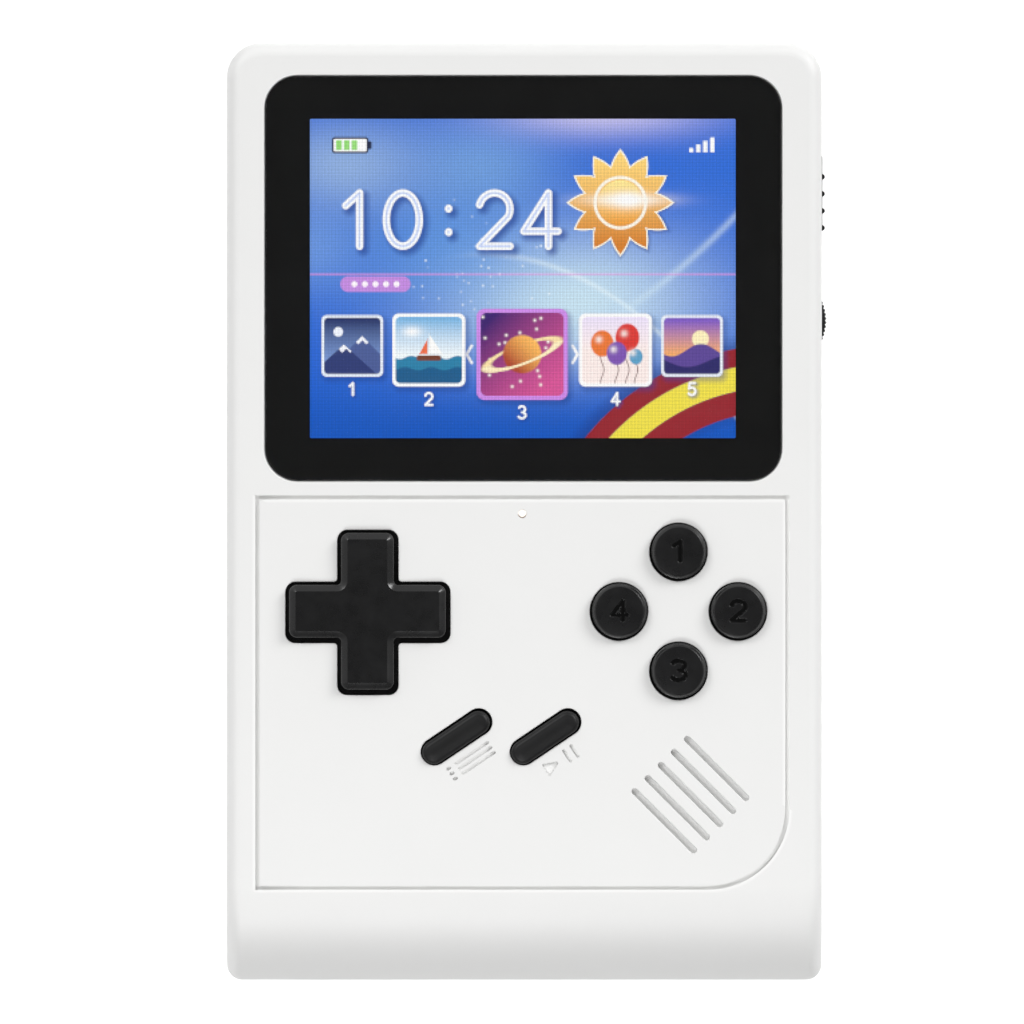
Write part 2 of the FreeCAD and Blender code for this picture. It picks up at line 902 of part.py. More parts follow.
def rear_shell():
    shell = rear_form(0, 0, edge_roll).cut(rear_form(side_wall, rear_wall, 0))
    tongue_outer = body_outline(side_wall - tongue_wall)
    tongue = prism(tongue_outer, seam_z - 1, seam_z + tongue_height)
    tongue = tongue.cut(prism(body_outline(side_wall), seam_z - 2, seam_z + tongue_height + 1))
    parts = [shell, tongue]
    top = seam_z
    for x, y in case_places:
        parts.append(post(x, y, well_radius + well_wall, rear_wall / 2, well_depth + well_floor))
        parts.append(post(x, y, post_radius, rear_wall, top))
    ledge_z = door_thickness + door_recess + door_gap
    parts.append(prism(door_outline(bay_wall), rear_wall / 2, ledge_z + door_ledge))
    parts.append(bay_box(bay_wall, rear_wall / 2, bay_roof_z + bay_roof))
    for step in (0, 1):
        y = top_y - rear_rib_drop - step * rear_rib_pitch
        parts.append(box(-right_x + side_wall / 2, wheel_x - wheel_radius - 2, y - rear_rib_width / 2,
                         y + rear_rib_width / 2, rear_wall / 2, rear_wall + rear_rib_height))
    shell = join(parts)
    cuts = side_slots()
    cuts.append(prism(door_outline(door_gap), -1, ledge_z))
    cuts.append(bay_box(0, -1, bay_roof_z))
    end = door_end_y()
    for x in door_tab_places():
        half = door_tab_width / 2 + door_tab_gap
        low = door_recess + door_thickness - door_tab_thickness - door_gap
        cuts.append(box(x - half, x + half, end - door_tab_reach - 0.4, end + door_tab_reach + 1,
                        low, low + door_tab_thickness + 2.2))
    contact_x = battery_length / 2 + bay_gap
    half = contact_pitch + contact_width
    slot_low = battery_floor + contact_slot_margin
    slot_high = battery_floor + battery_thickness - contact_slot_margin
    cuts.append(box(contact_x - 1, contact_x + bay_wall + 1, battery_y - half, battery_y + half,
                    slot_low, slot_high))
    for x, y in case_places:
        cuts.append(post(x, y, well_radius, -1, well_depth))
        cuts.append(post(x, y, case_shank_radius + hole_gap, 0, top + 1))
    shell = shell.cut(Part.makeCompound(cuts))
    return seam_edge(shell, 0.5)


def battery_door():
    low = door_recess
    high = low + door_thickness
    door = prism(door_outline(0), low, high)
    end = door_end_y()
    tabs = []
    for x in door_tab_places():
        tabs.append(box(x - door_tab_width / 2, x + door_tab_width / 2, end - door_tab_reach, end + 1,
                        high - door_tab_thickness, high))
    door = join([door] + tabs)
    far = 2 * battery_y - end
    slits = []
    for side in (-1, 1):
        x = side * latch_slit_spacing / 2
        slits.append(box(x - latch_slit_width / 2, x + latch_slit_width / 2, far - latch_slit_length, far + 1,
                         low - 1, high + 1))
    grip = []
    for i in range(grip_line_count):
        y = far - grip_from_edge + (i - (grip_line_count - 1) / 2) * grip_line_pitch
        grip.append(prism(pill(0, y, grip_line_length, grip_line_width, 0), low - 1, low + grip_line_depth))
    return door.cut(Part.makeCompound(slits + grip))


def battery():
    face = rectangle(0, battery_y, battery_length, battery_width, battery_corner)
    block = prism(face, battery_floor, battery_floor + battery_thickness)
    rims = [edge for edge in block.Edges if edge.BoundBox.ZLength < 0.001]
    return block.makeFillet(battery_edge, rims)


def battery_contact_block():
    x0 = battery_length / 2 + bay_gap + bay_wall + contact_block_gap
    half = contact_pitch + contact_width
    low = door_recess + door_thickness + door_gap + door_ledge + socket_gap
    return box(x0, x0 + contact_block_depth, battery_y - half, battery_y + half, low, board_rear_z)


def battery_contacts():
    """Three bent spring fingers that reach through the bay wall to the battery."""
    fingers = []
    root_x = battery_length / 2 + bay_gap + bay_wall + contact_block_gap
    tip_x = battery_length / 2 + contact_lead
    middle = battery_floor + battery_thickness / 2
    leg = contact_leg
    nose = contact_nose
    metal = contact_thickness
    points = [
        (root_x, middle - leg), (tip_x, middle - nose), (tip_x, middle + nose), (root_x, middle + leg),
        (root_x, middle + leg - metal), (tip_x + metal, middle + nose - metal / 2),
        (tip_x + metal, middle - nose + metal / 2), (root_x, middle - leg + metal),
    ]
    inner_bend = contact_bend - metal
    for i in (-1, 0, 1):
        face = rounded_polygon(points, [0, contact_bend, contact_bend, 0, 0, inner_bend, inner_bend, 0])
        face.rotate(vec(0, 0), vec(1, 0, 0), 90)
        finger = face.extrude(vec(0, contact_width, 0))
        finger.translate(vec(0, battery_y + i * contact_pitch - contact_width / 2, 0))
        fingers.append(finger)
    return Part.makeCompound(fingers)


# Display stack

def screen_lens():
    face = rectangle(lens_shift_x, lens_y, lens_width, lens_height, lens_corner)
    plate = prism(face, front_z - lens_thickness, front_z)
    rims = [edge for edge in plate.Edges if edge.BoundBox.ZMin > front_z - 0.001]
    return plate.makeChamfer(lens_edge_chamfer, rims)


def lens_adhesive():
    outer = rectangle(lens_shift_x, lens_y, lens_width - 2 * lens_glue_margin,
                      lens_height - 2 * lens_glue_margin, lens_corner - lens_glue_margin)
    margin = window_margin + lens_glue_set_back
    inner = rectangle(lcd_x, lcd_y, lcd_active_width + 2 * margin, lcd_active_height + 2 * margin,
                      window_corner + lens_glue_set_back)
    low = lens_seat_z
    high = front_z - lens_thickness
    return prism(outer, low, high).cut(prism(inner, low - 1, high + 1))


def active_area(margin):
    """Lit area of the display, made larger all round by margin."""
    return rectangle(lcd_x, lcd_y, lcd_active_width + 2 * margin, lcd_active_height + 2 * margin)


def lcd_module():
    """Display in its metal tray, with the glass standing up from the tray's rim."""
    tray = prism(rectangle(lcd_x, lcd_middle_y, lcd_width, lcd_height, lcd_rib_short), lcd_rear_z, lcd_front_z)
    around = rectangle(lcd_x, lcd_middle_y, lcd_width + 1, lcd_height + 1)
    step = prism(around, lcd_front_z - lcd_glass_step, lcd_front_z + 1)
    return tray.cut(step.cut(prism(active_area(lcd_glass_margin), lcd_front_z - 2, lcd_front_z + 2)))


def lcd_gasket_frame():
    outer = prism(active_area(lcd_glass_margin), lcd_front_z, wall_z)
    return outer.cut(prism(active_area(window_margin + lcd_gasket_set_back), lcd_front_z - 1, wall_z + 1))


def lcd_backing_pad():
    low_y = lcd_middle_y - lcd_height / 2 + pad_from_bottom
    high_y = lcd_middle_y + lcd_height / 2 - pad_from_top
    face = rectangle(lcd_x, (low_y + high_y) / 2, lcd_width - 2 * pad_from_side, high_y - low_y, pad_corner)
    return prism(face, board_front_z, lcd_rear_z)


def lcd_ribbon():
    """Flat ribbon out of the display's lower edge, bent back under it to the board."""
    edge_y = lcd_middle_y - lcd_height / 2
    upper = lcd_rear_z + ribbon_below_display
    lower = board_front_z + ribbon_above_board
    bend = (upper - lower) / 2
    turn_y = edge_y - ribbon_lead
    middle_z = (upper + lower) / 2
    plug_y = edge_y + ribbon_run

    def at(y, z):
        return vec(lcd_x - ribbon_width / 2, y, z)

    big = bend + ribbon_thickness / 2
    small = bend - ribbon_thickness / 2
    edges = [
        Part.LineSegment(at(edge_y, middle_z + big), at(turn_y, middle_z + big)).toShape(),
        Part.Arc(at(turn_y, middle_z + big), at(turn_y - big, middle_z), at(turn_y, middle_z - big)).toShape(),
        Part.LineSegment(at(turn_y, middle_z - big), at(plug_y, middle_z - big)).toShape(),
        Part.LineSegment(at(plug_y, middle_z - big), at(plug_y, middle_z - small)).toShape(),
        Part.LineSegment(at(plug_y, middle_z - small), at(turn_y, middle_z - small)).toShape(),
        Part.Arc(at(turn_y, middle_z - small), at(turn_y - small, middle_z),
                 at(turn_y, middle_z + small)).toShape(),
        Part.LineSegment(at(turn_y, middle_z + small), at(edge_y, middle_z + small)).toShape(),
        Part.LineSegment(at(edge_y, middle_z + small), at(edge_y, middle_z + big)).toShape(),
    ]
    return Part.Face(Part.Wire(edges)).extrude(vec(ribbon_width, 0, 0))


def lcd_connector():
    """Socket for the ribbon, with the groove in front of its latch bar."""
    y0 = lcd_middle_y - lcd_height / 2 + ribbon_run
    half = ribbon_width / 2 + connector_overhang
    high = board_front_z + connector_height
    body = box(lcd_x - half, lcd_x + half, y0, y0 + connector_depth, board_front_z, high)
    groove = box(lcd_x - half + latch_inset, lcd_x + half - latch_inset, y0 + latch_from,
                 y0 + latch_from + latch_width, high - latch_drop, high + 1)
    return body.cut(groove)


# Controls

def dpad_outline(grow):
    return cross(dpad_x, dpad_y, dpad_span + 2 * grow, dpad_arm + 2 * grow,
                 max(dpad_tip_corner + grow * 0.5, 0.15), max(dpad_inner_corner - grow * 0.2, 0.15))


def dpad_face(inset):
    return cross(dpad_x, dpad_y, dpad_span - 2 * inset, dpad_arm - 2 * inset,
                 max(dpad_tip_corner - inset, 0.2), dpad_inner_corner + inset)


def dpad():
    top = front_z + dpad_proud
    shoulder = top - dpad_bevel_down
    flange_high = wall_z - dpad_flange_drop
    flange_low = flange_high - dpad_flange_thickness
    key = prism(dpad_face(0), flange_low, shoulder)
    cap = taper(dpad_face(0), shoulder, dpad_face(dpad_bevel_in), top)
    flange = post(dpad_x, dpad_y, dpad_flange_radius, flange_low, flange_high)
    hub = post(dpad_x, dpad_y, 2 * pivot_radius, pivot_z + hub_above_pivot, flange_low + 0.5)
    solid = join([key, cap, flange, hub])
    reach = dpad_span / 2 - dpad_bevel_in
    dish_radius = reach ** 2 / (2 * dpad_dish_depth)
    dish = Part.makeSphere(dish_radius, vec(dpad_x, dpad_y, top - dpad_dish_depth + dish_radius))
    socket = Part.makeSphere(pivot_radius + pivot_gap, vec(dpad_x, dpad_y, pivot_z))
    return solid.cut(dish).cut(socket)


def dpad_pivot_ball():
    return Part.makeSphere(pivot_radius, vec(dpad_x, dpad_y, pivot_z))


def dpad_pivot_seat():
    seat = post(dpad_x, dpad_y, 2 * pivot_radius, board_front_z, pivot_z - pivot_radius / 2)
    return seat.cut(Part.makeSphere(pivot_radius + pivot_gap, vec(dpad_x, dpad_y, pivot_z)))


def face_button(x, y):
    """Round button: flange under the shell, straight side, rounded edge and slightly domed top."""
    r = face_button_radius
    top = front_z + face_button_proud
    edge = face_edge_round
    shoulder = top - edge
    crown = top + face_dome_rise
    flange_low = flange_top_z - flange_thickness
    stem_r = r - face_stem_inset
    bend = edge * (1 - math.cos(math.pi / 4))
    flat_r = r - edge
    dome_radius = (flat_r ** 2 + face_dome_rise ** 2) / (2 * face_dome_rise)
    half_way = crown - dome_radius + math.sqrt(dome_radius ** 2 - (flat_r / 2) ** 2)
    profile = [
        line(0, stem_z, stem_r, stem_z),
        line(stem_r, stem_z, stem_r, flange_low),
        line(stem_r, flange_low, r + flange_width, flange_low),
        line(r + flange_width, flange_low, r + flange_width, flange_top_z),
        line(r + flange_width, flange_top_z, r, flange_top_z),
        line(r, flange_top_z, r, shoulder),
        arc(r, shoulder, r - bend, top - bend, flat_r, top),
        arc(flat_r, top, flat_r / 2, half_way, 0, crown),
        line(0, crown, 0, stem_z),
    ]
    button = turned(x, y, profile)
    inner = r + flange_width
    key = box(-key_width / 2, key_width / 2, inner - 0.5, inner + key_reach, flange_low, flange_top_z)
    key.rotate(vec(0, 0), vec(0, 0, 1), key_turn(x, y))
    key.translate(vec(x, y))
    return button.fuse(key)


def pill_button(side):
    top = front_z + pill_proud
    shoulder = top - pill_edge
    flange_low = flange_top_z - flange_thickness
    body = prism(pill_outline(side, 0), flange_top_z, top)
    rims = [edge for edge in body.Edges if edge.BoundBox.ZMin > shoulder]
    body = body.makeFillet(pill_edge, rims)
    flange = prism(pill_outline(side, flange_width), flange_low, flange_top_z)
    x, y = pill_places[side]
    stem = prism(pill(x, y, pill_length - pill_stem_shorter, pill_width - pill_stem_narrower, pill_tilt_deg),
                 stem_z, flange_low)
    return join([body, flange, stem])


def dome(x, y, top):
    """Hollow rubber dome under a button, with its contact face inside."""
    low = board_front_z
    outer = Part.makeCone(dome_base_radius, dome_top_radius, top - low - membrane_sheet,
                          vec(x, y, low + membrane_sheet))
    hollow = Part.makeCone(dome_base_radius - dome_wall, dome_top_radius - dome_wall,
                           top - low - 1.0, vec(x, y, low))
    return outer, hollow


def membrane(sheet_face, places, top):
    sheet = prism(sheet_face, board_front_z, board_front_z + membrane_sheet)
    domes = [dome(x, y, top) for x, y in places]
    solid = join([sheet] + [outer for outer, hollow in domes])
    return solid.cut(Part.makeCompound([hollow for outer, hollow in domes]))


def dpad_membrane():
    offset = dpad_dome_offset
    places = [(dpad_x + offset, dpad_y), (dpad_x - offset, dpad_y),
              (dpad_x, dpad_y + offset), (dpad_x, dpad_y - offset)]
    side = 2 * (offset + dome_base_radius + membrane_margin)
    top = wall_z - dpad_flange_drop - dpad_flange_thickness - dome_gap
    sheet = membrane(rectangle(dpad_x, dpad_y, side, side, dpad_membrane_corner), places, top)
    return sheet.cut(post(dpad_x, dpad_y, 2 * pivot_radius + 0.3, board_front_z - 1, wall_z))


def face_button_membrane():
    side = math.sqrt(2) * (face_offset + dome_base_radius + membrane_margin)
    face = rectangle(0, 0, side, side, face_membrane_corner)
    face.rotate(vec(0, 0), vec(0, 0, 1), 45)
    face.translate(vec(face_x, face_y))
    return membrane(face, list(face_places.values()), stem_z - dome_gap)


def pill_membrane():
    middle = (pill_left_x + pill_right_x) / 2
    width = pill_right_x - pill_left_x + 2 * (dome_base_radius + membrane_margin)
    face = rectangle(middle, pill_y, width, 2 * (dome_base_radius + membrane_margin),
                     pill_membrane_corner)
    return membrane(face, list(pill_places.values()), stem_z - dome_gap)


def volume_wheel():
    """Knurled thumbwheel with bevelled rims."""
    teeth = round(2 * math.pi * wheel_radius / knurl_pitch)
    points = []
    for i in range(2 * teeth):
        radius = wheel_radius if i % 2 == 0 else wheel_radius - knurl_depth
        angle = math.pi * i / teeth
        points.append(vec(wheel_x + radius * math.cos(angle), wheel_y + radius * math.sin(angle)))
    face = Part.Face(Part.makePolygon(points + [points[0]]))
    low = seam_z - wheel_thickness / 2
    high = seam_z + wheel_thickness / 2
    wheel = prism(face, low, high)
    r = wheel_radius
    c = wheel_chamfer
    r_out = r + 0.01
    blank = turned(wheel_x, wheel_y, [
        line(0, low, r - c, low), line(r - c, low, r_out, low + c), line(r_out, low + c, r_out, high - c),
        line(r_out, high - c, r - c, high), line(r - c, high, 0, high), line(0, high, 0, low)])
    wheel = wheel.common(blank)
    bore = post(wheel_x, wheel_y, wheel_shaft_radius, low - 1, high + 1)
    pocket = post(wheel_x, wheel_y, wheel_pocket_radius, low - 1, low + wheel_pocket_depth)
    return wheel.cut(Part.makeCompound([bore, pocket]))


def volume_shaft():
    low = seam_z - wheel_thickness / 2 + wheel_pocket_depth
    return post(wheel_x, wheel_y, wheel_shaft_radius, low, board_rear_z - 0.1)


def wheel_screw():
    low = seam_z - wheel_thickness / 2
    return post(wheel_x, wheel_y, wheel_screw_radius, low + 0.1, low + wheel_pocket_depth)


def volume_pot_body():
    low = seam_z + wheel_thickness / 2 + 0.15
    body = post(wheel_x, wheel_y, pot_radius, low, board_rear_z)
    return body.cut(post(wheel_x, wheel_y, wheel_shaft_radius + shaft_gap, low - 1, board_rear_z + 1))


def power_knob():
    """Slider grip with rounded ridges, and the flange that holds it inside the wall."""
    half = slider_length / 2
    high = slider_height / 2
    inner_x = right_x - side_wall - slider_wall_gap
    face_x_out = right_x + slider_stands_out
    grip = box(inner_x, face_x_out, slider_y - half, slider_y + half, seam_z - high, seam_z + high)
    flange_half = half + slider_travel + 0.5
    flange_high = high + slider_flange_margin
    flange = box(inner_x - slider_flange_thickness, inner_x, slider_y - flange_half,
                 slider_y + flange_half, seam_z - flange_high, seam_z + flange_high)
    ridges = []
    radius = (slider_ridge ** 2 + slider_ridge_half ** 2) / (2 * slider_ridge)
    for i in range(slider_ridge_count):
        y = slider_y + slider_ridge_shift + (i - (slider_ridge_count - 1) / 2) * slider_ridge_pitch
        middle = vec(face_x_out + slider_ridge - radius, y, seam_z - high)
        ridge = Part.makeCylinder(radius, slider_height, middle)
        keep = box(face_x_out - 0.1, face_x_out + 1, y - 1, y + 1, seam_z - high, seam_z + high)
        ridges.append(ridge.common(keep))
    knob = join([grip, flange] + ridges)
    lever_y = slider_y - slider_travel / 2
    half_width = lever_width / 2 + lever_gap
    half_height = lever_height / 2 + lever_gap
    pocket = box(inner_x - slider_flange_thickness - 1, inner_x - 2 * slider_wall_gap, lever_y - half_width,
                 lever_y + half_width, seam_z - half_height, seam_z + half_height)
    return knob.cut(pocket)


def switch_face_x():
    return right_x - side_wall - slider_flange_thickness - switch_set_back


def switch_lever():
    """Small lever that the knob carries along, at the middle of its stroke's upper end."""
    y = slider_y - slider_travel / 2
    x_out = right_x - side_wall - 4 * slider_wall_gap
    return box(switch_face_x() - lever_root, x_out, y - lever_width / 2, y + lever_width / 2,
               seam_z - lever_height / 2, seam_z + lever_height / 2)


def power_switch_body():
    x1 = switch_face_x()
    middle = slider_y - slider_travel
    body = box(x1 - switch_width, x1, middle - switch_length / 2, middle + switch_length / 2,
               board_rear_z - switch_height, board_rear_z)
    run = lever_width / 2 + slider_travel / 2 + hole_gap
    half = lever_height / 2 + slider_gap
    slot = box(x1 - lever_root - wheel_gap, x1 + 1, middle - run, middle + run, seam_z - half, seam_z + half)
    return body.cut(slot)


# Speaker

def speaker_basket():
    wall = speaker_basket_wall
    basket = post(speaker_x, speaker_y, speaker_radius, basket_low_z, basket_high_z)
    hollow = Part.makeCone(speaker_magnet_radius + wall, speaker_radius - wall, speaker_basket_depth - wall,
                           vec(speaker_x, speaker_y, basket_low_z + wall))
    return basket.cut(hollow)


def speaker_cone():
    """Shallow paper cone with its dust cap, a little below the basket's rim."""
    high = basket_high_z - speaker_cone_drop
    low = high - speaker_cone_depth
    rim = speaker_radius - speaker_basket_wall - speaker_surround
    fold = rim - speaker_fold
    throat = speaker_magnet_radius - speaker_throat_inset
    wall = speaker_cone_wall
    cap = low + speaker_cap_rise
    return turned(speaker_x, speaker_y, [
        line(0, cap, throat, low), line(throat, low, rim, high - wall), line(rim, high - wall, rim, high),
        line(rim, high, fold, high), line(fold, high, throat, low + 1.3 * wall),
        line(throat, low + 1.3 * wall, 0, cap + 1.3 * wall), line(0, cap + 1.3 * wall, 0, cap)])


def speaker_magnet():
    return post(speaker_x, speaker_y, speaker_magnet_radius, basket_low_z - speaker_magnet_depth, basket_low_z)


def speaker_gasket_ring():
    return ring(speaker_x, speaker_y, speaker_radius, speaker_radius - speaker_gasket_width,
                basket_high_z, speaker_top_z - speaker_cloth)


def speaker_cloth_disc():
    return post(speaker_x, speaker_y, speaker_radius, speaker_top_z - speaker_cloth, speaker_top_z)


def speaker_contacts():
    springs = []
    low_y = speaker_y + speaker_spring_from
    for side in (-1, 1):
        x = speaker_x + side * speaker_spring_x
        springs.append(box(x - speaker_spring_width / 2, x + speaker_spring_width / 2, low_y,
                           low_y + speaker_spring_length, board_front_z, basket_low_z))
    return Part.makeCompound(springs)


# Board and what is on it

def main_board():
    inset = side_wall + board_edge_gap
    face = rectangle(0, 0, body_width - 2 * inset, body_height - 2 * inset,
                     [board_corner_bottom, board_corner_bottom, board_corner_top, board_corner_top])
    board = prism(face, board_rear_z, board_front_z)
    cuts = [box(-body_width, body_width, bottom_y, bottom_y + board_lip_gap, 0, front_z)]
    for x, y in case_places:
        cuts.append(post(x, y, post_radius + board_post_gap, 0, front_z))
    for x, y in board_places:
        cuts.append(post(x, y, board_shank_radius + hole_gap, 0, front_z))
    return board.cut(Part.makeCompound(cuts))


def board_chip(x, drop, width, length, height):
    """Block on the rear of the board, its middle as far below the top edge as drop says."""
    y = top_y - drop
    return box(x - width / 2, x + width / 2, y - length / 2, y + length / 2,
               board_rear_z - height, board_rear_z)


def passives():
    """Small coils, capacitors and resistors on the rear of the board, in short rows."""
    parts = []
    for i in range(passive_count):
        x = passive_x + i * passive_pitch
        parts.append(board_chip(x, capacitor_drop, capacitor_length, capacitor_width, capacitor_height))
        parts.append(board_chip(x, resistor_drop, resistor_length, resistor_width, resistor_height))
    parts.append(board_chip(coil_x, coil_drop, coil_size, coil_size, coil_height))
    for i in (0, 1):
        parts.append(post(can_x + i * can_pitch, top_y - capacitor_drop, can_radius,
                          board_rear_z - can_height, board_rear_z))
    return Part.makeCompound(parts)


def power_led():
    return box(light_x - led_length / 2, light_x + led_length / 2, light_y - led_width / 2,
               light_y + led_width / 2, board_front_z, board_front_z + led_height)


def light_pipe():
    low = board_front_z + led_height + led_gap
    stem = post(light_x, light_y, light_radius, low, front_z - light_set_back)
    high = wall_z - flange_gap / 2
    return stem.fuse(post(light_x, light_y, light_flange_radius, high - light_flange_thickness, high))


def headphone_jack():
    z = jack_z()
    face_y_out = top_y - side_wall - hole_gap
    back = face_y_out - jack_length
    body = box(jack_x - jack_width / 2, jack_x + jack_width / 2, back, face_y_out,
               board_rear_z - jack_height, board_rear_z)
    nose = rod_y(jack_x, z, jack_nose_radius, face_y_out, top_y - socket_set_back)
    bore = rod_y(jack_x, z, jack_bore_radius, back + socket_back_wall, top_y + 1)
    return body.fuse(nose).cut(bore)


def charging_port():
    """Rounded metal shell with the contact tongue inside."""
    front_y = top_y - socket_set_back
    back = front_y - port_length

    def tube(grow, start, length):
        solid = port_face(grow).extrude(vec(0, length, 0))
        solid.translate(vec(0, start, 0))
        return solid

    shell = tube(0, back, port_length).cut(tube(-port_metal, back + socket_back_wall, port_length))
    half = port_tongue_thickness / 2
    tongue = box(port_x - port_tongue_width / 2, port_x + port_tongue_width / 2, back + socket_back_wall / 2,
                 front_y - port_tongue_set_back, port_z() - half, port_z() + half)
    return shell.fuse(tongue)


def case_screws():
    screws = []
    for x, y in case_places:
        seat = well_depth
        head = post(x, y, case_head_radius, seat - case_head_height, seat)
        rims = [edge for edge in head.Edges if edge.BoundBox.ZMax < seat - case_head_height + 0.01]
        head = head.makeChamfer(0.3, rims)
        screws.append(head.fuse(post(x, y, case_shank_radius, seat, seam_z + case_screw_reach)))
    return Part.makeCompound(screws)


def board_screws():
    screws = []
    for x, y in board_places:
        head = post(x, y, board_head_radius, board_rear_z - board_head_height, board_rear_z)
        shank = post(x, y, board_shank_radius, board_rear_z, board_front_z + board_screw_reach)
        screws.append(head.fuse(shank))
    return Part.makeCompound(screws)


def build():
    os.makedirs("parts", exist_ok=True)
    export("front_shell", front_shell())
    export("rear_shell", rear_shell())
    export("screen_lens", screen_lens())
    export("lens_adhesive", lens_adhesive())
    export("lcd_module", lcd_module())
    export("lcd_gasket", lcd_gasket_frame())
    export("lcd_backing_pad", lcd_backing_pad())
    export("lcd_ribbon", lcd_ribbon())
    export("lcd_connector", lcd_connector())
    export("dpad", dpad())
    export("dpad_pivot_ball", dpad_pivot_ball())
    export("dpad_pivot_seat", dpad_pivot_seat())
    export("dpad_membrane", dpad_membrane())
    for name, (x, y) in face_places.items():
        export("button_" + name, face_button(x, y))
    export("face_button_membrane", face_button_membrane())
    for side in pill_places:
        export("pill_button_" + side, pill_button(side))
    export("pill_membrane", pill_membrane())
    export("volume_wheel", volume_wheel())
    export("volume_shaft", volume_shaft())
    export("wheel_screw", wheel_screw())
    export("volume_pot_body", volume_pot_body())
    export("power_knob", power_knob())
    export("switch_lever", switch_lever())
    export("power_switch_body", power_switch_body())
    export("speaker_basket", speaker_basket())
    export("speaker_cone", speaker_cone())
    export("speaker_magnet", speaker_magnet())
    export("speaker_gasket", speaker_gasket_ring())
    export("speaker_cloth", speaker_cloth_disc())
    export("speaker_contacts", speaker_contacts())
    export("main_board", main_board())
    export("processor", board_chip(processor_x, processor_drop, processor_size, processor_size, chip_height))
    export("memory_chip", board_chip(memory_x, memory_drop, memory_width, memory_length, chip_height))
    export("crystal", board_chip(crystal_x, crystal_drop, crystal_width, crystal_length, crystal_height))
    export("board_small_parts", passives())
    export("power_led", power_led())
    export("light_pipe", light_pipe())
    export("headphone_jack", headphone_jack())
    export("charging_port", charging_port())
    export("battery", battery())
    export("battery_door", battery_door())
    export("battery_contact_block", battery_contact_block())
    export("battery_contacts", battery_contacts())
    export("case_screws", case_screws())
    export("board_screws", board_screws())


build()
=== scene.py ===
import math

import bpy
import numpy as np
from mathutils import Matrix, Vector, geometry


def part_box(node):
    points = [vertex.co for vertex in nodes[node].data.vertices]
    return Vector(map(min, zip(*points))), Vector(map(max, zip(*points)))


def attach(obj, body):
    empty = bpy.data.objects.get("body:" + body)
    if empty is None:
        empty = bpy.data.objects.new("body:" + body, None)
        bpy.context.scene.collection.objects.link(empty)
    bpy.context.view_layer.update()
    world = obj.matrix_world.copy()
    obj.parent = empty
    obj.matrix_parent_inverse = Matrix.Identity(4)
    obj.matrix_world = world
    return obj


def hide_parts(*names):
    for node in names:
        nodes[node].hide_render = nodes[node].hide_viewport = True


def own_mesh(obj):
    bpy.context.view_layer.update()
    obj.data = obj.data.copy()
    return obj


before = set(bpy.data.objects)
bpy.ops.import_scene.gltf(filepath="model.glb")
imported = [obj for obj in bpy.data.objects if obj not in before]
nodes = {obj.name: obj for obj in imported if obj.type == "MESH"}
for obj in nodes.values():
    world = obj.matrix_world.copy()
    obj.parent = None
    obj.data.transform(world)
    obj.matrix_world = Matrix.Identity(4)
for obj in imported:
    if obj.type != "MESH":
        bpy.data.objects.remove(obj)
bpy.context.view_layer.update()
mm = 0.001
print("frame loaded:", len(nodes), "nodes")


# Meshes

# One object from points (n, 3) in metres and faces as rows of point numbers.
# Edges sharper than the given angle stay crisp, the rest is shaded smooth.
def makePiece(name, points, faces, material, sharpAngle=38):
    mesh = bpy.data.meshes.new(name)
    mesh.from_pydata(np.asarray(points).tolist(), [], faces)
    mesh.validate()
    mesh.shade_smooth()
    mesh.set_sharp_from_angle(angle=math.radians(sharpAngle))
    mesh.materials.append(material)
    piece = bpy.data.objects.new(name, mesh)
    bpy.context.scene.collection.objects.link(piece)
    return piece


# Body that a new piece rides on, slot of its finish (not used), and the nodes that it stands for.
def fitPiece(piece, body, slotName, *replaced):
    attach(piece, body)
    if replaced:
        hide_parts(*replaced)
    return piece


# One value for each point or face, kept in the mesh for its material.
def addAttribute(piece, name, kind, domain, values):
    attribute = piece.data.attributes.new(name, kind, domain)
    slot = "color" if kind == "FLOAT_COLOR" else "value"
    attribute.data.foreach_set(slot, values.astype(np.float32).ravel())


# Middle of a node's box.
def middleOf(node):
    low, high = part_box(node)
    return np.array((low + high) / 2)


# Quads between neighbouring rows of a grid whose columns close on themselves. In a loop the last row joins
# the first as well.
def bandFaces(rows, columns, loop=False):
    row = np.arange(rows if loop else rows - 1)[:, None]
    column = np.arange(columns)[None, :]
    following = (column + 1) % columns
    here = row * columns
    beyond = (row + 1) % rows * columns
    quads = np.stack([here + column, here + following, beyond + following, beyond + column], -1)
    return quads.reshape(-1, 4).tolist()


# Closed solid from rings (rows, columns, 3), listed from the underside up; one point closes each end.
def ringSolid(rings):
    rows, columns = rings.shape[:2]
    points = np.concatenate([rings.reshape(-1, 3), rings[:1].mean(1), rings[-1:].mean(1)])
    column = np.arange(columns)
    following = (column + 1) % columns
    lowPole = np.full(columns, rows * columns)
    last = (rows - 1) * columns
    under = np.stack([lowPole, following, column], -1)
    top = np.stack([lowPole + 1, last + column, last + following], -1)
    return points, bandFaces(rows, columns) + under.tolist() + top.tolist()


# Closed tube from rings, whose last ring joins the first.
def ringLoop(rings):
    return rings.reshape(-1, 3), bandFaces(*rings.shape[:2], loop=True)


# Ring of points: a flat outline (n, 2) about a centre, at the height z (a number or one value a point).
def ringAt(outline, centre, z):
    height = np.broadcast_to(np.asarray(z, float), (len(outline),))
    return np.column_stack([outline + np.asarray(centre), height])


# Rings of one outline about a centre, from a profile of sizes and heights.
def ringsOf(outline, centre, profile):
    return [ringAt(outline * size, centre, z) for size, z in profile]


# Several point and face sets in one, each with its point numbers moved on.
def gather(parts):
    points = []
    faces = []
    count = 0
    for somePoints, someFaces in parts:
        points.append(somePoints)
        faces += [[number + count for number in face] for face in someFaces]
        count += len(somePoints)
    return np.concatenate(points), faces


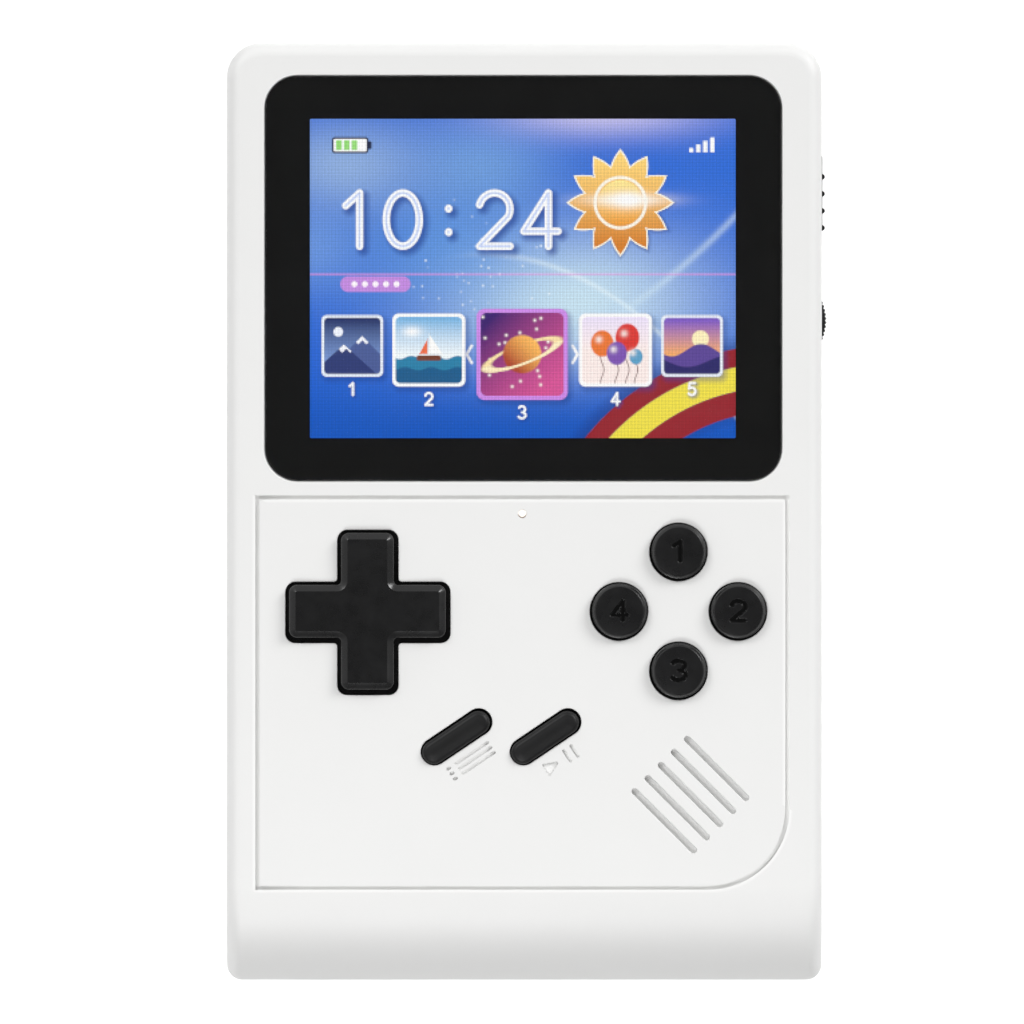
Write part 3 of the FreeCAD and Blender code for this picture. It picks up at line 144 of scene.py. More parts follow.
# Circle of radius one, as evenly spaced points.
def unitCircle(columns):
    angle = turnsOf(columns)
    return np.column_stack([np.cos(angle), np.sin(angle)])


def turnsOf(columns):
    return np.arange(columns) * 2 * np.pi / columns


# Cosine and sine at even steps of a quarter turn, for rounded edges.
def quarterTurn(steps):
    bend = np.linspace(0, np.pi / 2, steps)
    return list(zip(np.cos(bend), np.sin(bend)))


# Matrix that turns rows of flat points by an angle whose cosine and sine are given.
def turned(cosine, sine):
    return np.array([(cosine, sine), (-sine, cosine)])


# Flat plate with round holes, each given as its centre and radius. The face between the outlines is cut
# into triangles, those inside a hole are left out, and a wall joins both faces along every outline.
def piercedPlate(outline, holes, low, high, columns=64):
    loops = [outline] + [unitCircle(columns)[::-1] * radius + centre for centre, radius in holes]
    flat = np.concatenate(loops)
    first = np.cumsum([0] + [len(loop) for loop in loops])
    here = np.arange(len(flat))
    steps = [start + (np.arange(len(loop)) + 1) % len(loop) for start, loop in zip(first, loops)]
    following = np.concatenate(steps)
    edges = np.stack([here, following], -1).tolist()
    corners = [Vector(point) for point in (flat / mm).tolist()]
    insideOutline = 1
    tolerance = 1e-6
    triangles = np.array(geometry.delaunay_2d_cdt(corners, edges, [], insideOutline, tolerance)[2])
    middles = flat[triangles].mean(1)
    for centre, radius in holes:
        outside = np.hypot(*(middles - centre).T) > radius
        triangles = triangles[outside]
        middles = middles[outside]
    points = np.concatenate([ringAt(flat, (0, 0), low), ringAt(flat, (0, 0), high)])
    count = len(flat)
    walls = np.stack([here, following, following + count, here + count], -1)
    return points, triangles[:, ::-1].tolist() + (triangles + count).tolist() + walls.tolist()


# Rounded polygon: each corner is an arc whose centre lies on the bisector at radius / sin(half angle);
# each straight side gets evenly spaced points, so that all insets of one outline have the same count.
def roundedOutline(corners, radii, perCorner=9, perSide=8):
    corners = np.asarray(corners, float)
    radii = np.asarray(radii, float)
    before = np.roll(corners, 1, 0) - corners
    after = np.roll(corners, -1, 0) - corners
    before /= np.linalg.norm(before, axis=1, keepdims=True)
    after /= np.linalg.norm(after, axis=1, keepdims=True)
    half = np.arccos((before * after).sum(1)) / 2
    middle = before + after
    middle /= np.linalg.norm(middle, axis=1, keepdims=True)
    centre = corners + middle * (radii / np.sin(half))[:, None]
    start = corners + before * (radii / np.tan(half))[:, None]
    end = corners + after * (radii / np.tan(half))[:, None]
    fromAngle = np.arctan2(start[:, 1] - centre[:, 1], start[:, 0] - centre[:, 0])
    toAngle = np.arctan2(end[:, 1] - centre[:, 1], end[:, 0] - centre[:, 0])
    sweep = (toAngle - fromAngle + np.pi) % (2 * np.pi) - np.pi
    angle = fromAngle[:, None] + sweep[:, None] * np.linspace(0, 1, perCorner)
    arcs = centre[:, None] + radii[:, None, None] * np.stack([np.cos(angle), np.sin(angle)], -1)
    along = np.linspace(0, 1, perSide + 2)[1:-1][:, None]
    sides = end[:, None] + (np.roll(start, -1, 0) - end)[:, None] * along
    return np.concatenate([arcs, sides], 1).reshape(-1, 2)


# Corners of a box, anticlockwise from the lower left.
def boxCorners(left, bottom, right, top):
    return [(left, bottom), (right, bottom), (right, top), (left, top)]


# Rectangle outline with round corners about a centre.
def boxOutline(centre, width, height, radius):
    x, y = width / 2, height / 2
    return roundedOutline(boxCorners(-x, -y, x, y), [radius] * 4) + np.asarray(centre)


# Plus sign with rounded tips and inner corners, smaller all round by inset.
def crossOutline(shape, inset=0.0):
    tip = shape["span"] / 2 - inset
    side = shape["arm"] / 2 - inset
    tipRadius = max(shape["tipCorner"] - inset, shape["leastCorner"])
    quarter = np.array([(side, -tip), (side, -side), (tip, -side)])
    corners = [quarter @ turned(*turn) for turn in ((1, 0), (0, 1), (-1, 0), (0, -1))]
    radii = [tipRadius, shape["innerCorner"] + inset, tipRadius] * 4
    return roundedOutline(np.concatenate(corners), radii)


# Slot outline: two half circles of the width joined by straight sides, turned by the tilt.
def slotOutline(length, width, tilt=0.0, perEnd=28, perSide=22):
    run = (length - width) / 2
    angle = np.linspace(-np.pi / 2, np.pi / 2, perEnd)
    cap = np.column_stack([run + width / 2 * np.cos(angle), width / 2 * np.sin(angle)])
    along = np.linspace(run, -run, perSide + 2)[1:-1]
    side = np.column_stack([along, np.full(perSide, width / 2)])
    half = np.concatenate([cap, side])
    return np.concatenate([half, -half]) @ turned(math.cos(tilt), math.sin(tilt))


# Rises from 0 to 1 between low and high with level ends: t * t * (3 - 2 t).
def smoothStep(low, high, value):
    t = np.clip((value - low) / (high - low), 0, 1)
    return t * t * (3 - 2 * t)


# Numerals, as strokes in a box one unit high

# Points on an ellipse about (x, y) between two angles in degrees.
def strokeArc(x, y, radiusX, radiusY, start, end, count=16):
    angle = np.radians(np.linspace(start, end, count))
    return [(x + radiusX * math.cos(a), y + radiusY * math.sin(a)) for a in angle]


numeralWidth = 0.62
numeralStrokes = {
    "0": [strokeArc(0.31, 0.5, 0.31, 0.5, 0, 360, 32)],
    "1": [[(0.10, 0.76), (0.36, 1.0), (0.36, 0.0)]],
    "2": [strokeArc(0.31, 0.70, 0.29, 0.30, 165, -28) + [(0.03, 0.0), (0.60, 0.0)]],
    "3": [strokeArc(0.29, 0.74, 0.27, 0.26, 150, -80) + strokeArc(0.29, 0.24, 0.31, 0.25, 85, -150)],
    "4": [[(0.46, 0.0), (0.46, 1.0), (0.0, 0.28), (0.64, 0.28)]],
    "5": [[(0.56, 1.0), (0.12, 1.0), (0.07, 0.54)] + strokeArc(0.29, 0.31, 0.31, 0.31, 128, -145)],
    ":": [[(0.31, 0.26), (0.31, 0.27)], [(0.31, 0.70), (0.31, 0.71)]],
}


# Distance from each point (x, y) to the nearest stroke: the least distance to any of its segments.
def strokeDistance(x, y, strokes):
    starts = np.concatenate([np.asarray(line)[:-1] for line in strokes])
    runs = np.concatenate([np.diff(np.asarray(line), axis=0) for line in strokes])
    px = x[..., None] - starts[:, 0]
    py = y[..., None] - starts[:, 1]
    share = np.clip((px * runs[:, 0] + py * runs[:, 1]) / (runs ** 2).sum(1), 0, 1)
    return np.hypot(px - share * runs[:, 0], py - share * runs[:, 1]).min(-1)


# Shader helpers. Those that get a linked value take the tree from it.

# Linear colour from the three screen values, 0 to 255.
def paint(red, green, blue):
    screen = np.array([red, green, blue]) / 255
    linear = np.where(screen <= 0.04045, screen / 12.92, ((screen + 0.055) / 1.055) ** 2.4)
    return (*linear.tolist(), 1.0)


def isSocket(value):
    return isinstance(value, bpy.types.NodeSocket)


def treeOf(*values):
    return next(value.id_data for value in values if isSocket(value))


def link(source, target):
    target.id_data.links.new(source, target)


def setInputs(node, values):
    for key, value in values.items():
        if isSocket(value):
            link(value, node.inputs[key])
        else:
            node.inputs[key].default_value = value


def addNode(tree, kind, values=None, **settings):
    node = tree.nodes.new(kind)
    for key, value in settings.items():
        setattr(node, key, value)
    setInputs(node, values or {})
    return node


def calc(operation, *terms, clamp=False):
    values = dict(enumerate(terms))
    return addNode(treeOf(*terms), "ShaderNodeMath", values, operation=operation, use_clamp=clamp).outputs[0]


def plus(first, *others):
    for other in others:
        first = calc("ADD", first, other)
    return first


def times(first, *others):
    for other in others:
        first = calc("MULTIPLY", first, other)
    return first


def minus(first, second):
    return calc("SUBTRACT", first, second)


def above(value, limit):
    return calc("GREATER_THAN", value, limit)


def below(value, limit):
    return calc("LESS_THAN", value, limit)


def farFrom(value, middle):
    return calc("ABSOLUTE", minus(value, middle))


# Noise, which lies round a half, moved to lie round zero and scaled.
def swing(noise, reach):
    return times(minus(noise, 0.5), reach)


# Share of the way from one value to another, held between 0 and 1.
def shareOf(value, start, end, kind="LINEAR"):
    values = {"Value": value, "From Min": start, "From Max": end}
    return addNode(treeOf(value), "ShaderNodeMapRange", values, interpolation_type=kind).outputs[0]


def blendColour(factor, first, second, mode="MIX"):
    values = {0: factor, 6: first, 7: second}
    tree = treeOf(factor, first, second)
    return addNode(tree, "ShaderNodeMix", values, data_type="RGBA", blend_type=mode).outputs[2]


def shaded(colour, shade):
    channels = dict.fromkeys(("Red", "Green", "Blue"), shade)
    grey = addNode(treeOf(shade), "ShaderNodeCombineColor", channels).outputs[0]
    return blendColour(1.0, colour, grey, "MULTIPLY")


def relief(height, depth, normal):
    link(addNode(treeOf(height), "ShaderNodeBump", {"Height": height, "Distance": depth}).outputs[0], normal)


def objectPlace(tree):
    return addNode(tree, "ShaderNodeTexCoord").outputs["Object"]


def objectAxes(tree):
    return addNode(tree, "ShaderNodeSeparateXYZ", {"Vector": objectPlace(tree)}).outputs


# Noise with features of about the given size, on Object coordinates unless another place is given.
def noiseField(tree, size, detail=2.0, roughness=0.5, place=None):
    scale = calc("DIVIDE", 1.0, size) if isSocket(size) else 1 / size
    values = {"Vector": place or objectPlace(tree), "Scale": scale, "Detail": detail, "Roughness": roughness}
    return addNode(tree, "ShaderNodeTexNoise", values).outputs[0]


# Wave along an axis, from -1 to 1, once in each pitch.
def waveAlong(axis, pitch):
    turns = calc("DIVIDE", 2 * math.pi, pitch) if isSocket(pitch) else 2 * math.pi / pitch
    return calc("SINE", times(axis, turns))


def cells(tree, size):
    values = {"Vector": objectPlace(tree), "Scale": 1 / size}
    return addNode(tree, "ShaderNodeTexVoronoi", values).outputs["Distance"]


outputKinds = {"Colour": "NodeSocketColor", "Roughness": "NodeSocketFloat", "Normal": "NodeSocketVector"}


# Node group whose inputs are given with their first values: colours as tuples, all others as numbers.
def newGroup(name, inputs, outputs):
    group = bpy.data.node_groups.new(name, "ShaderNodeTree")
    for label, value in inputs.items():
        kind = "NodeSocketColor" if isinstance(value, tuple) else "NodeSocketFloat"
        group.interface.new_socket(name=label, in_out="INPUT", socket_type=kind).default_value = value
    for label in outputs:
        group.interface.new_socket(name=label, in_out="OUTPUT", socket_type=outputKinds[label])
    return group, group.nodes.new("NodeGroupInput").outputs, group.nodes.new("NodeGroupOutput").inputs


mouldedSurface = {
    "grain": {"detail": 3.0, "roughness": 0.6}, "slow": {"size": 9 * mm, "detail": 3.0},
    "patches": {"size": 2.3 * mm, "detail": 4.0, "roughness": 0.6}, "unevenGloss": 0.16,
}


# Moulded surface: fine spark grain, slow mottling of the colour and a slightly uneven gloss.
def buildMouldedGrain():
    inputs = {"Colour": (0.8, 0.8, 0.8, 1), "Roughness": 0.4, "Grain Size": 0.25 * mm,
              "Grain Depth": 0.004 * mm, "Mottle": 0.02}
    group, given, result = newGroup("mouldedGrain", inputs, ["Colour", "Roughness", "Normal"])
    form = mouldedSurface
    grain = noiseField(group, given["Grain Size"], **form["grain"])
    slow = noiseField(group, **form["slow"])
    patches = noiseField(group, **form["patches"])
    shade = plus(1.0, swing(slow, given["Mottle"]), swing(grain, given["Mottle"]))
    link(shaded(given["Colour"], shade), result["Colour"])
    gloss = calc("ADD", given["Roughness"], swing(patches, form["unevenGloss"]), clamp=True)
    link(gloss, result["Roughness"])
    relief(grain, given["Grain Depth"], result["Normal"])
    return group


# Cloth of round threads: two crossed waves, one thread over the other in turn; the gap shows where both
# waves are low.
def buildWeave(gapBelow=0.42):
    inputs = {"Pitch": 0.3 * mm, "Thread": (0.5, 0.5, 0.5, 1), "Gap": (0.05, 0.05, 0.05, 1),
              "Depth": 0.04 * mm}
    group, given, result = newGroup("weave", inputs, ["Colour", "Normal"])
    axes = objectAxes(group)
    warp, weft = (calc("ABSOLUTE", waveAlong(axes[label], given["Pitch"])) for label in "XY")
    height = calc("MAXIMUM", warp, weft)
    link(blendColour(above(height, gapBelow), given["Gap"], given["Thread"]), result["Colour"])
    relief(height, given["Depth"], result["Normal"])
    return group


metalSurface = {
    "stretch": (0.06, 1.0, 1.0), "streak": {"size": 0.12 * mm, "detail": 4.0, "roughness": 0.7},
    "stain": {"size": 3 * mm, "detail": 3.0}, "darkest": 0.86, "brighter": 0.28, "unevenGloss": 0.3,
}


# Rolled or brushed metal: long streaks along X, and a slow change of gloss.
def buildBrushedMetal():
    inputs = {"Colour": (0.6, 0.6, 0.6, 1), "Roughness": 0.3, "Streak Depth": 0.002 * mm}
    group, given, result = newGroup("brushedMetal", inputs, ["Colour", "Roughness", "Normal"])
    form = metalSurface
    values = {"Vector": objectPlace(group), "Scale": form["stretch"]}
    stretched = addNode(group, "ShaderNodeMapping", values).outputs[0]
    streak = noiseField(group, **form["streak"], place=stretched)
    stain = noiseField(group, **form["stain"])
    link(shaded(given["Colour"], plus(form["darkest"], times(stain, form["brighter"]))), result["Colour"])
    gloss = calc("ADD", given["Roughness"], swing(streak, form["unevenGloss"]), clamp=True)
    link(gloss, result["Roughness"])
    relief(streak, given["Streak Depth"], result["Normal"])
    return group


mouldedGrain = buildMouldedGrain()
weave = buildWeave()
brushedMetal = buildBrushedMetal()


# New material, with its tree and the inputs of its shader. A socket is named with _ for each space.
def newMaterial(name, **sockets):
    material = bpy.data.materials.new(name)
    material.use_nodes = True
    shader = material.node_tree.nodes["Principled BSDF"]
    setInputs(shader, {label.replace("_", " "): value for label, value in sockets.items()})
    return material, material.node_tree, shader.inputs


shaderNames = {"Colour": "Base Color", "Roughness": "Roughness", "Normal": "Normal"}


# Places a group in a material, and joins each output to the shader's input of its kind.
def applyGroup(tree, target, group, values):
    node = addNode(tree, "ShaderNodeGroup", node_tree=group)
    setInputs(node, values)
    for output in node.outputs:
        link(output, target[shaderNames[output.name]])


# Plastic with the moulded grain. varied(tree) may give inputs of the group that change over the surface.
def mouldedPlastic(name, colour, roughness, grainSize, grainDepth, mottle=0.03, varied=None, **sockets):
    material, tree, target = newMaterial(name, **sockets)
    values = {"Colour": colour, "Roughness": roughness, "Grain Size": grainSize,
              "Grain Depth": grainDepth, "Mottle": mottle}
    if varied:
        values.update(varied(tree))
    applyGroup(tree, target, mouldedGrain, values)
    return material


def metal(name, colour, roughness, depth=0.002 * mm):
    material, tree, target = newMaterial(name, Metallic=1.0)
    applyGroup(tree, target, brushedMetal, {"Colour": colour, "Roughness": roughness, "Streak Depth": depth})
    return material


# Finishes of the outside

shellFinish = {
    "colour": paint(240, 240, 239), "roughness": 0.46, "grainSize": 0.22 * mm, "grainDepth": 0.0025 * mm,
    "mottle": 0.02,
}
keyFinish = {
    "colour": paint(13, 13, 14), "roughness": 0.285, "grainSize": 0.16 * mm, "grainDepth": 0.003 * mm,
    "mottle": 0.25, "Specular_IOR_Level": 0.72,
}
sideFinish = {
    "colour": paint(17, 17, 18), "roughness": 0.5, "grainSize": 0.14 * mm, "grainDepth": 0.004 * mm,
    "mottle": 0.25,
}
pillFinish = {
    "colour": paint(14, 14, 15), "roughness": 0.47, "grainSize": 0.16 * mm, "grainDepth": 0.003 * mm,
    "mottle": 0.25, "Specular_IOR_Level": 0.36,
}
inkFinish = {
    "colour": paint(35, 35, 35), "roughness": 0.5, "grainSize": 0.1 * mm, "grainDepth": 0.001 * mm,
    "mottle": 0.2, "Specular_IOR_Level": 0.0,
}
# Sunk numerals: their darker colour is painted shade in the recess; they are also smoother.
sunkNumeralShade = {"colour": paint(5, 5, 5), "smoother": 0.18}
# The wall and rim colours are painted light: paler paint on the groove's shaded walls, and a painted
# highlight line beside the groove.
panelGroove = {
    "centre": (-0.25 * mm, -25.8 * mm), "half": (37.75 * mm, 27.8 * mm), "corner": 11.4 * mm,
    "width": 0.6 * mm, "faceZ": 21.0 * mm, "play": 0.05 * mm, "leftFade": 5.0 * mm, "cornerFade": 3.0 * mm,
    "wall": paint(253, 253, 252), "rim": paint(252, 252, 251), "highlightReach": 0.85 * mm, "highlightFade": 0.5 * mm,
}


# Distance to the panel's outline, a rectangle with a round lower right corner: the length of max(q, 0),
# plus min(max(qx, qy), 0), less r, with q = |place - centre| - half + r, and r zero at the square corners.
# The second result is 1 well inside the round corner and fades to 0 at its ends.
def panelDistance(fromX, fromY):
    quarter = times(above(fromX, 0.0), below(fromY, 0.0))
    radius = times(quarter, panelGroove["corner"])
    halves = zip((fromX, fromY), panelGroove["half"])
    past = [plus(minus(calc("ABSOLUTE", offset), half), radius) for offset, half in halves]
    outX, outY = (calc("MAXIMUM", value, 0.0) for value in past)
    length = calc("SQRT", plus(times(outX, outX), times(outY, outY)))
    within = calc("MINIMUM", calc("MAXIMUM", *past), 0.0)
    inCorner = times(quarter, calc("MINIMUM", outX, outY))
    fade = calc("DIVIDE", inCorner, panelGroove["cornerFade"], clamp=True)
    return minus(plus(length, within), radius), fade


# Painted light round the panel's groove, in the shell's colour: the groove's shaded walls are painted paler,
# and a painted highlight line runs along the left or lower edge of each of its runs, outside the panel at its
# left and bottom and inside it at its right and top, the sides that face the light from the upper right.
# A slanting line parts these two pairs: fromY + slope * fromX = rise.
def grooveTint(tree):
    shape = panelGroove
    axes = objectAxes(tree)
    fromX, fromY = (minus(axes[label], value) for label, value in zip("XY", shape["centre"]))
    distance, inCorner = panelDistance(fromX, fromY)
    halfX, halfY = shape["half"]
    slope = (2 * halfY - shape["corner"]) / (2 * halfX)
    leftOrLow = below(plus(fromY, times(fromX, slope)), halfY - slope * halfX)
    lit = times(distance, minus(times(leftOrLow, 2.0), 1.0))
    onFace = above(axes["Z"], shape["faceZ"] - shape["play"])
    beyond = above(lit, shape["width"] / 2 - shape["play"])
    fade = calc("DIVIDE", minus(shape["highlightReach"], lit), shape["highlightFade"], clamp=True)
    near = below(calc("ABSOLUTE", distance), shape["width"] / 2 + shape["play"])
    notLeft = calc("DIVIDE", plus(fromX, halfX), shape["leftFade"], clamp=True)
    wall = times(near, notLeft, minus(1.0, onFace), minus(1.0, inCorner))
    tint = blendColour(times(fade, onFace, beyond), shellFinish["colour"], shape["rim"])
    return {"Colour": blendColour(wall, tint, shape["wall"])}


# The keys' plastic is painted darker where the mesh says that a numeral is sunk, as painted shade in the
# recess, and is smoother there.
def numeralTint(tree):
    sunk = addNode(tree, "ShaderNodeAttribute", attribute_name="sunk").outputs["Fac"]
    smoother = minus(keyFinish["roughness"], times(sunk, sunkNumeralShade["smoother"]))
    return {"Colour": blendColour(sunk, keyFinish["colour"], sunkNumeralShade["colour"]), "Roughness": smoother}


lensLook = {
    "clear": {"Transmission_Weight": 1.0, "Roughness": 0.0, "IOR": 1.49},
    "smudges": {"size": 14 * mm, "detail": 3.0}, "haze": 0.02,
}


def lensGlass():
    material, tree, target = newMaterial("lensGlass", **lensLook["clear"])
    target["Base Color"].default_value = (1, 1, 1, 1)
    link(times(noiseField(tree, **lensLook["smudges"]), lensLook["haze"]), target["Roughness"])
    return material


keyPlastic = mouldedPlastic("keyPlastic", **keyFinish)
numeralPlastic = mouldedPlastic("numeralPlastic", varied=numeralTint, **keyFinish)
sidePlastic = mouldedPlastic("sidePlastic", **sideFinish)
pillPlastic = mouldedPlastic("pillPlastic", **pillFinish)
lensInkBlack = mouldedPlastic("printedInk", **inkFinish)


# Finishes of the inside

foamLook = {
    "cell": 0.25 * mm, "fill": 1.2, "cut": paint(52, 52, 54), "pore": paint(18, 18, 19), "depth": 0.05 * mm,
}


# Foam: open cells, from the distance to scattered points.
def foamFinish():
    material, tree, target = newMaterial("foam", Roughness=0.95)
    pores = calc("MULTIPLY", cells(tree, foamLook["cell"]), foamLook["fill"], clamp=True)
    link(blendColour(pores, foamLook["cut"], foamLook["pore"]), target["Base Color"])
    relief(pores, foamLook["depth"], target["Normal"])
    return material


ribbonLook = {
    "pitch": 0.5 * mm, "lineAbove": 0.1, "film": paint(176, 98, 30), "line": paint(214, 146, 74),
    "depth": 0.01 * mm,
}


# Film with parallel copper lines under an amber coat.
def ribbonFilm():
    material, tree, target = newMaterial("ribbonFilm", Roughness=0.28, Coat_Weight=0.6)
    wave = waveAlong(objectAxes(tree)["X"], ribbonLook["pitch"])
    line = above(wave, ribbonLook["lineAbove"])
    link(blendColour(line, ribbonLook["film"], ribbonLook["line"]), target["Base Color"])
    relief(wave, ribbonLook["depth"], target["Normal"])
    return material


boardLook = {
    "mask": paint(14, 92, 50), "run": paint(32, 128, 70), "runScale": 3.1 * mm, "runWidth": 0.06,
    "runLength": 2.7, "runPitch": 0.24, "pad": paint(196, 198, 196), "padPitch": 2.6 * mm, "padReach": 0.13,
    "gloss": 0.32, "padRougher": 0.1, "padMetal": 0.9, "depth": 0.03 * mm,
}


# Green board: solder mask, with copper runs under it and tinned pads where cells meet a threshold.
def boardFinish():
    material, tree, target = newMaterial("solderMask", Coat_Weight=0.5)
    bricks = {"Vector": objectPlace(tree), "Scale": 1 / boardLook["runScale"],
              "Mortar Size": boardLook["runWidth"], "Brick Width": boardLook["runLength"],
              "Row Height": boardLook["runPitch"]}
    runs = addNode(tree, "ShaderNodeTexBrick", bricks).outputs["Fac"]
    pad = below(cells(tree, boardLook["padPitch"]), boardLook["padReach"])
    mask = blendColour(runs, boardLook["mask"], boardLook["run"])
    link(blendColour(pad, mask, boardLook["pad"]), target["Base Color"])
    link(times(pad, boardLook["padMetal"]), target["Metallic"])
    link(plus(boardLook["gloss"], times(pad, boardLook["padRougher"])), target["Roughness"])
    relief(plus(runs, pad), boardLook["depth"], target["Normal"])
    return material


clothLook = {
    "Pitch": 0.36 * mm, "Thread": paint(226, 226, 225), "Gap": paint(176, 176, 175), "Depth": 0.03 * mm,
}


# Speaker cloth: pale woven threads.
def clothFinish():
    material, tree, target = newMaterial("speakerMesh", Roughness=0.9, Sheen_Weight=0.2)
    applyGroup(tree, target, weave, clothLook)
    return material


paperLook = {
    "fibres": {"size": 0.3 * mm, "detail": 6.0, "roughness": 0.75}, "dark": paint(38, 37, 36),
    "pale": paint(74, 72, 69), "depth": 0.04 * mm,
}


# Paper cone: pressed fibres as fine noise.
def paperFinish():
    material, tree, target = newMaterial("pressedPaper", Roughness=0.9)
    fibres = noiseField(tree, **paperLook["fibres"])
    link(blendColour(fibres, paperLook["dark"], paperLook["pale"]), target["Base Color"])
    relief(fibres, paperLook["depth"], target["Normal"])
    return material


ledLook = {
    "patch": 0.5 * mm, "warm": paint(255, 226, 160), "bright": paint(255, 252, 244),
    "body": paint(226, 222, 212),
}


# Power light: milky plastic with uneven light inside.
def ledFinish():
    material, tree, target = newMaterial("ledBody", Roughness=0.25, Emission_Strength=1.0)
    target["Base Color"].default_value = ledLook["body"]
    light = blendColour(noiseField(tree, ledLook["patch"]), ledLook["warm"], ledLook["bright"])
    link(light, target["Emission Color"])
    return material


# The edge colours are a painted shadow: a brown crescent along the lower side of the rod's rim.
pipeLook = {
    "rimFrom": 0.34 * mm, "rimTo": 0.54 * mm, "lowFrom": 0.05 * mm, "lowTo": -0.35 * mm,
    "end": paint(250, 247, 242), "edge": paint(150, 132, 120), "glow": paint(255, 246, 232),
    "paintedShadowGlow": paint(120, 96, 80),
}


# Clear rod, lit from its foot: white in the middle, with a painted shadow in brown along the lower side of
# its rim, where the gap to its hole lies in shade.
def pipeFinish():
    material, tree, target = newMaterial("lightPipe", Roughness=0.3, Emission_Strength=0.3)
    axes = objectAxes(tree)
    middleX, middleY = middleOf("light_pipe")[:2]
    offX = minus(axes["X"], middleX)
    offY = minus(axes["Y"], middleY)
    away = calc("SQRT", plus(times(offX, offX), times(offY, offY)))
    rim = shareOf(away, pipeLook["rimFrom"], pipeLook["rimTo"], "SMOOTHSTEP")
    # Painted shadow: the rim's lower side, browner and with less glow.
    shade = times(rim, shareOf(offY, pipeLook["lowFrom"], pipeLook["lowTo"]))
    link(blendColour(shade, pipeLook["end"], pipeLook["edge"]), target["Base Color"])
    link(blendColour(shade, pipeLook["glow"], pipeLook["paintedShadowGlow"]), target["Emission Color"])
    return material


goldColour = paint(232, 190, 104)
portLook = {
    "tongueX": 3.25 * mm, "tongueZ": 0.4 * mm, "stripPitch": 0.5 * mm, "stripAbove": 0.2,
    "steel": paint(196, 197, 200), "tongue": paint(24, 24, 26), "roughness": 0.26,
}


# Port: steel shell, with a black tongue in the middle that carries gold strips.
def portFinish():
    material, tree, target = newMaterial("portSteel")
    middle = middleOf("charging_port")
    axes = objectAxes(tree)
    inX = below(farFrom(axes["X"], middle[0]), portLook["tongueX"])
    inZ = below(farFrom(axes["Z"], middle[2]), portLook["tongueZ"])
    tongue = times(inX, inZ)
    strip = times(tongue, above(waveAlong(axes["X"], portLook["stripPitch"]), portLook["stripAbove"]))
    tint = blendColour(tongue, portLook["steel"], portLook["tongue"])
    values = {"Colour": blendColour(strip, tint, goldColour), "Roughness": portLook["roughness"]}
    applyGroup(tree, target, brushedMetal, values)
    link(calc("MAXIMUM", minus(1.0, tongue), strip), target["Metallic"])
    return material


wrapLook = {
    "foldWidth": 3.5 * mm, "stripeHalf": 4.0 * mm, "stripeBelow": 9.0 * mm,
    "crinkle": {"size": 5 * mm, "detail": 5.0, "roughness": 0.6},
    "film": paint(38, 42, 48), "stripe": paint(70, 92, 122), "fold": paint(176, 178, 182), "foldMetal": 0.8,
    "gloss": 0.28, "unevenGloss": 0.2, "depth": 0.12 * mm,
}


# Battery film: dark wrap with folded ends in silver and a plain stripe, no words.
def wrapFinish():
    material, tree, target = newMaterial("batteryWrap", Coat_Weight=0.3)
    axes = objectAxes(tree)
    fold = above(calc("ABSOLUTE", axes["X"]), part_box("battery")[1].x - wrapLook["foldWidth"])
    stripeY = middleOf("battery")[1] - wrapLook["stripeBelow"]
    stripe = below(farFrom(axes["Y"], stripeY), wrapLook["stripeHalf"])
    tint = blendColour(stripe, wrapLook["film"], wrapLook["stripe"])
    link(blendColour(fold, tint, wrapLook["fold"]), target["Base Color"])
    link(times(fold, wrapLook["foldMetal"]), target["Metallic"])
    crinkle = noiseField(tree, **wrapLook["crinkle"])
    link(plus(wrapLook["gloss"], times(crinkle, wrapLook["unevenGloss"])), target["Roughness"])
    relief(crinkle, wrapLook["depth"], target["Normal"])
    return material


grainFine = {"grainSize": 0.12 * mm, "grainDepth": 0.003 * mm}
blackZinc = metal("blackZinc", paint(58, 58, 61), 0.38)
finishes = {
    "white_shell": mouldedPlastic("shellPlastic", **shellFinish),
    "clear_lens": lensGlass(),
    "black_foam": foamFinish(),
    "display": metal("displayBezel", paint(120, 122, 126), 0.42),
    "amber_film": ribbonFilm(),
    "ivory_plastic": mouldedPlastic("ivoryPlastic", paint(226, 217, 196), 0.42, mottle=0.05, **grainFine),
    "black_keys": keyPlastic,
    "black_side_controls": sidePlastic,
    "steel": metal("platedSteel", paint(190, 192, 196), 0.26),
    "grey_rubber": mouldedPlastic("siliconeRubber", paint(150, 152, 156), 0.62, mottle=0.06, **grainFine),
    "board_parts": mouldedPlastic("chipEpoxy", paint(38, 38, 40), 0.55, mottle=0.3, **grainFine),
    "speaker_paper": paperFinish(),
    "magnet": metal("platedMagnet", paint(132, 133, 137), 0.32),
    "speaker_cloth": clothFinish(),
    "gold_contacts": metal("goldPlate", goldColour, 0.22),
    "green_board": boardFinish(),
    "led": ledFinish(),
    "light_pipe": pipeFinish(),
    "black_socket": mouldedPlastic("socketPlastic", paint(28, 28, 29), 0.45, mottle=0.2, **grainFine),
    "battery_wrap": wrapFinish(),
    "dark_screws": blackZinc,
}
for node in nodes.values():
    slotName = node.data.materials[0].name.split(".")[0]
    node.data.materials[0] = finishes[slotName]
nodes["charging_port"].data.materials[0] = portFinish()
# The front shell carries painted light round its groove: paler walls and a painted highlight line.
nodes["front_shell"].data.materials[0] = mouldedPlastic("frontShellPlasticPaintedLight", varied=grooveTint, **shellFinish)
print("finishes assigned:", len(finishes))


# Direction pad

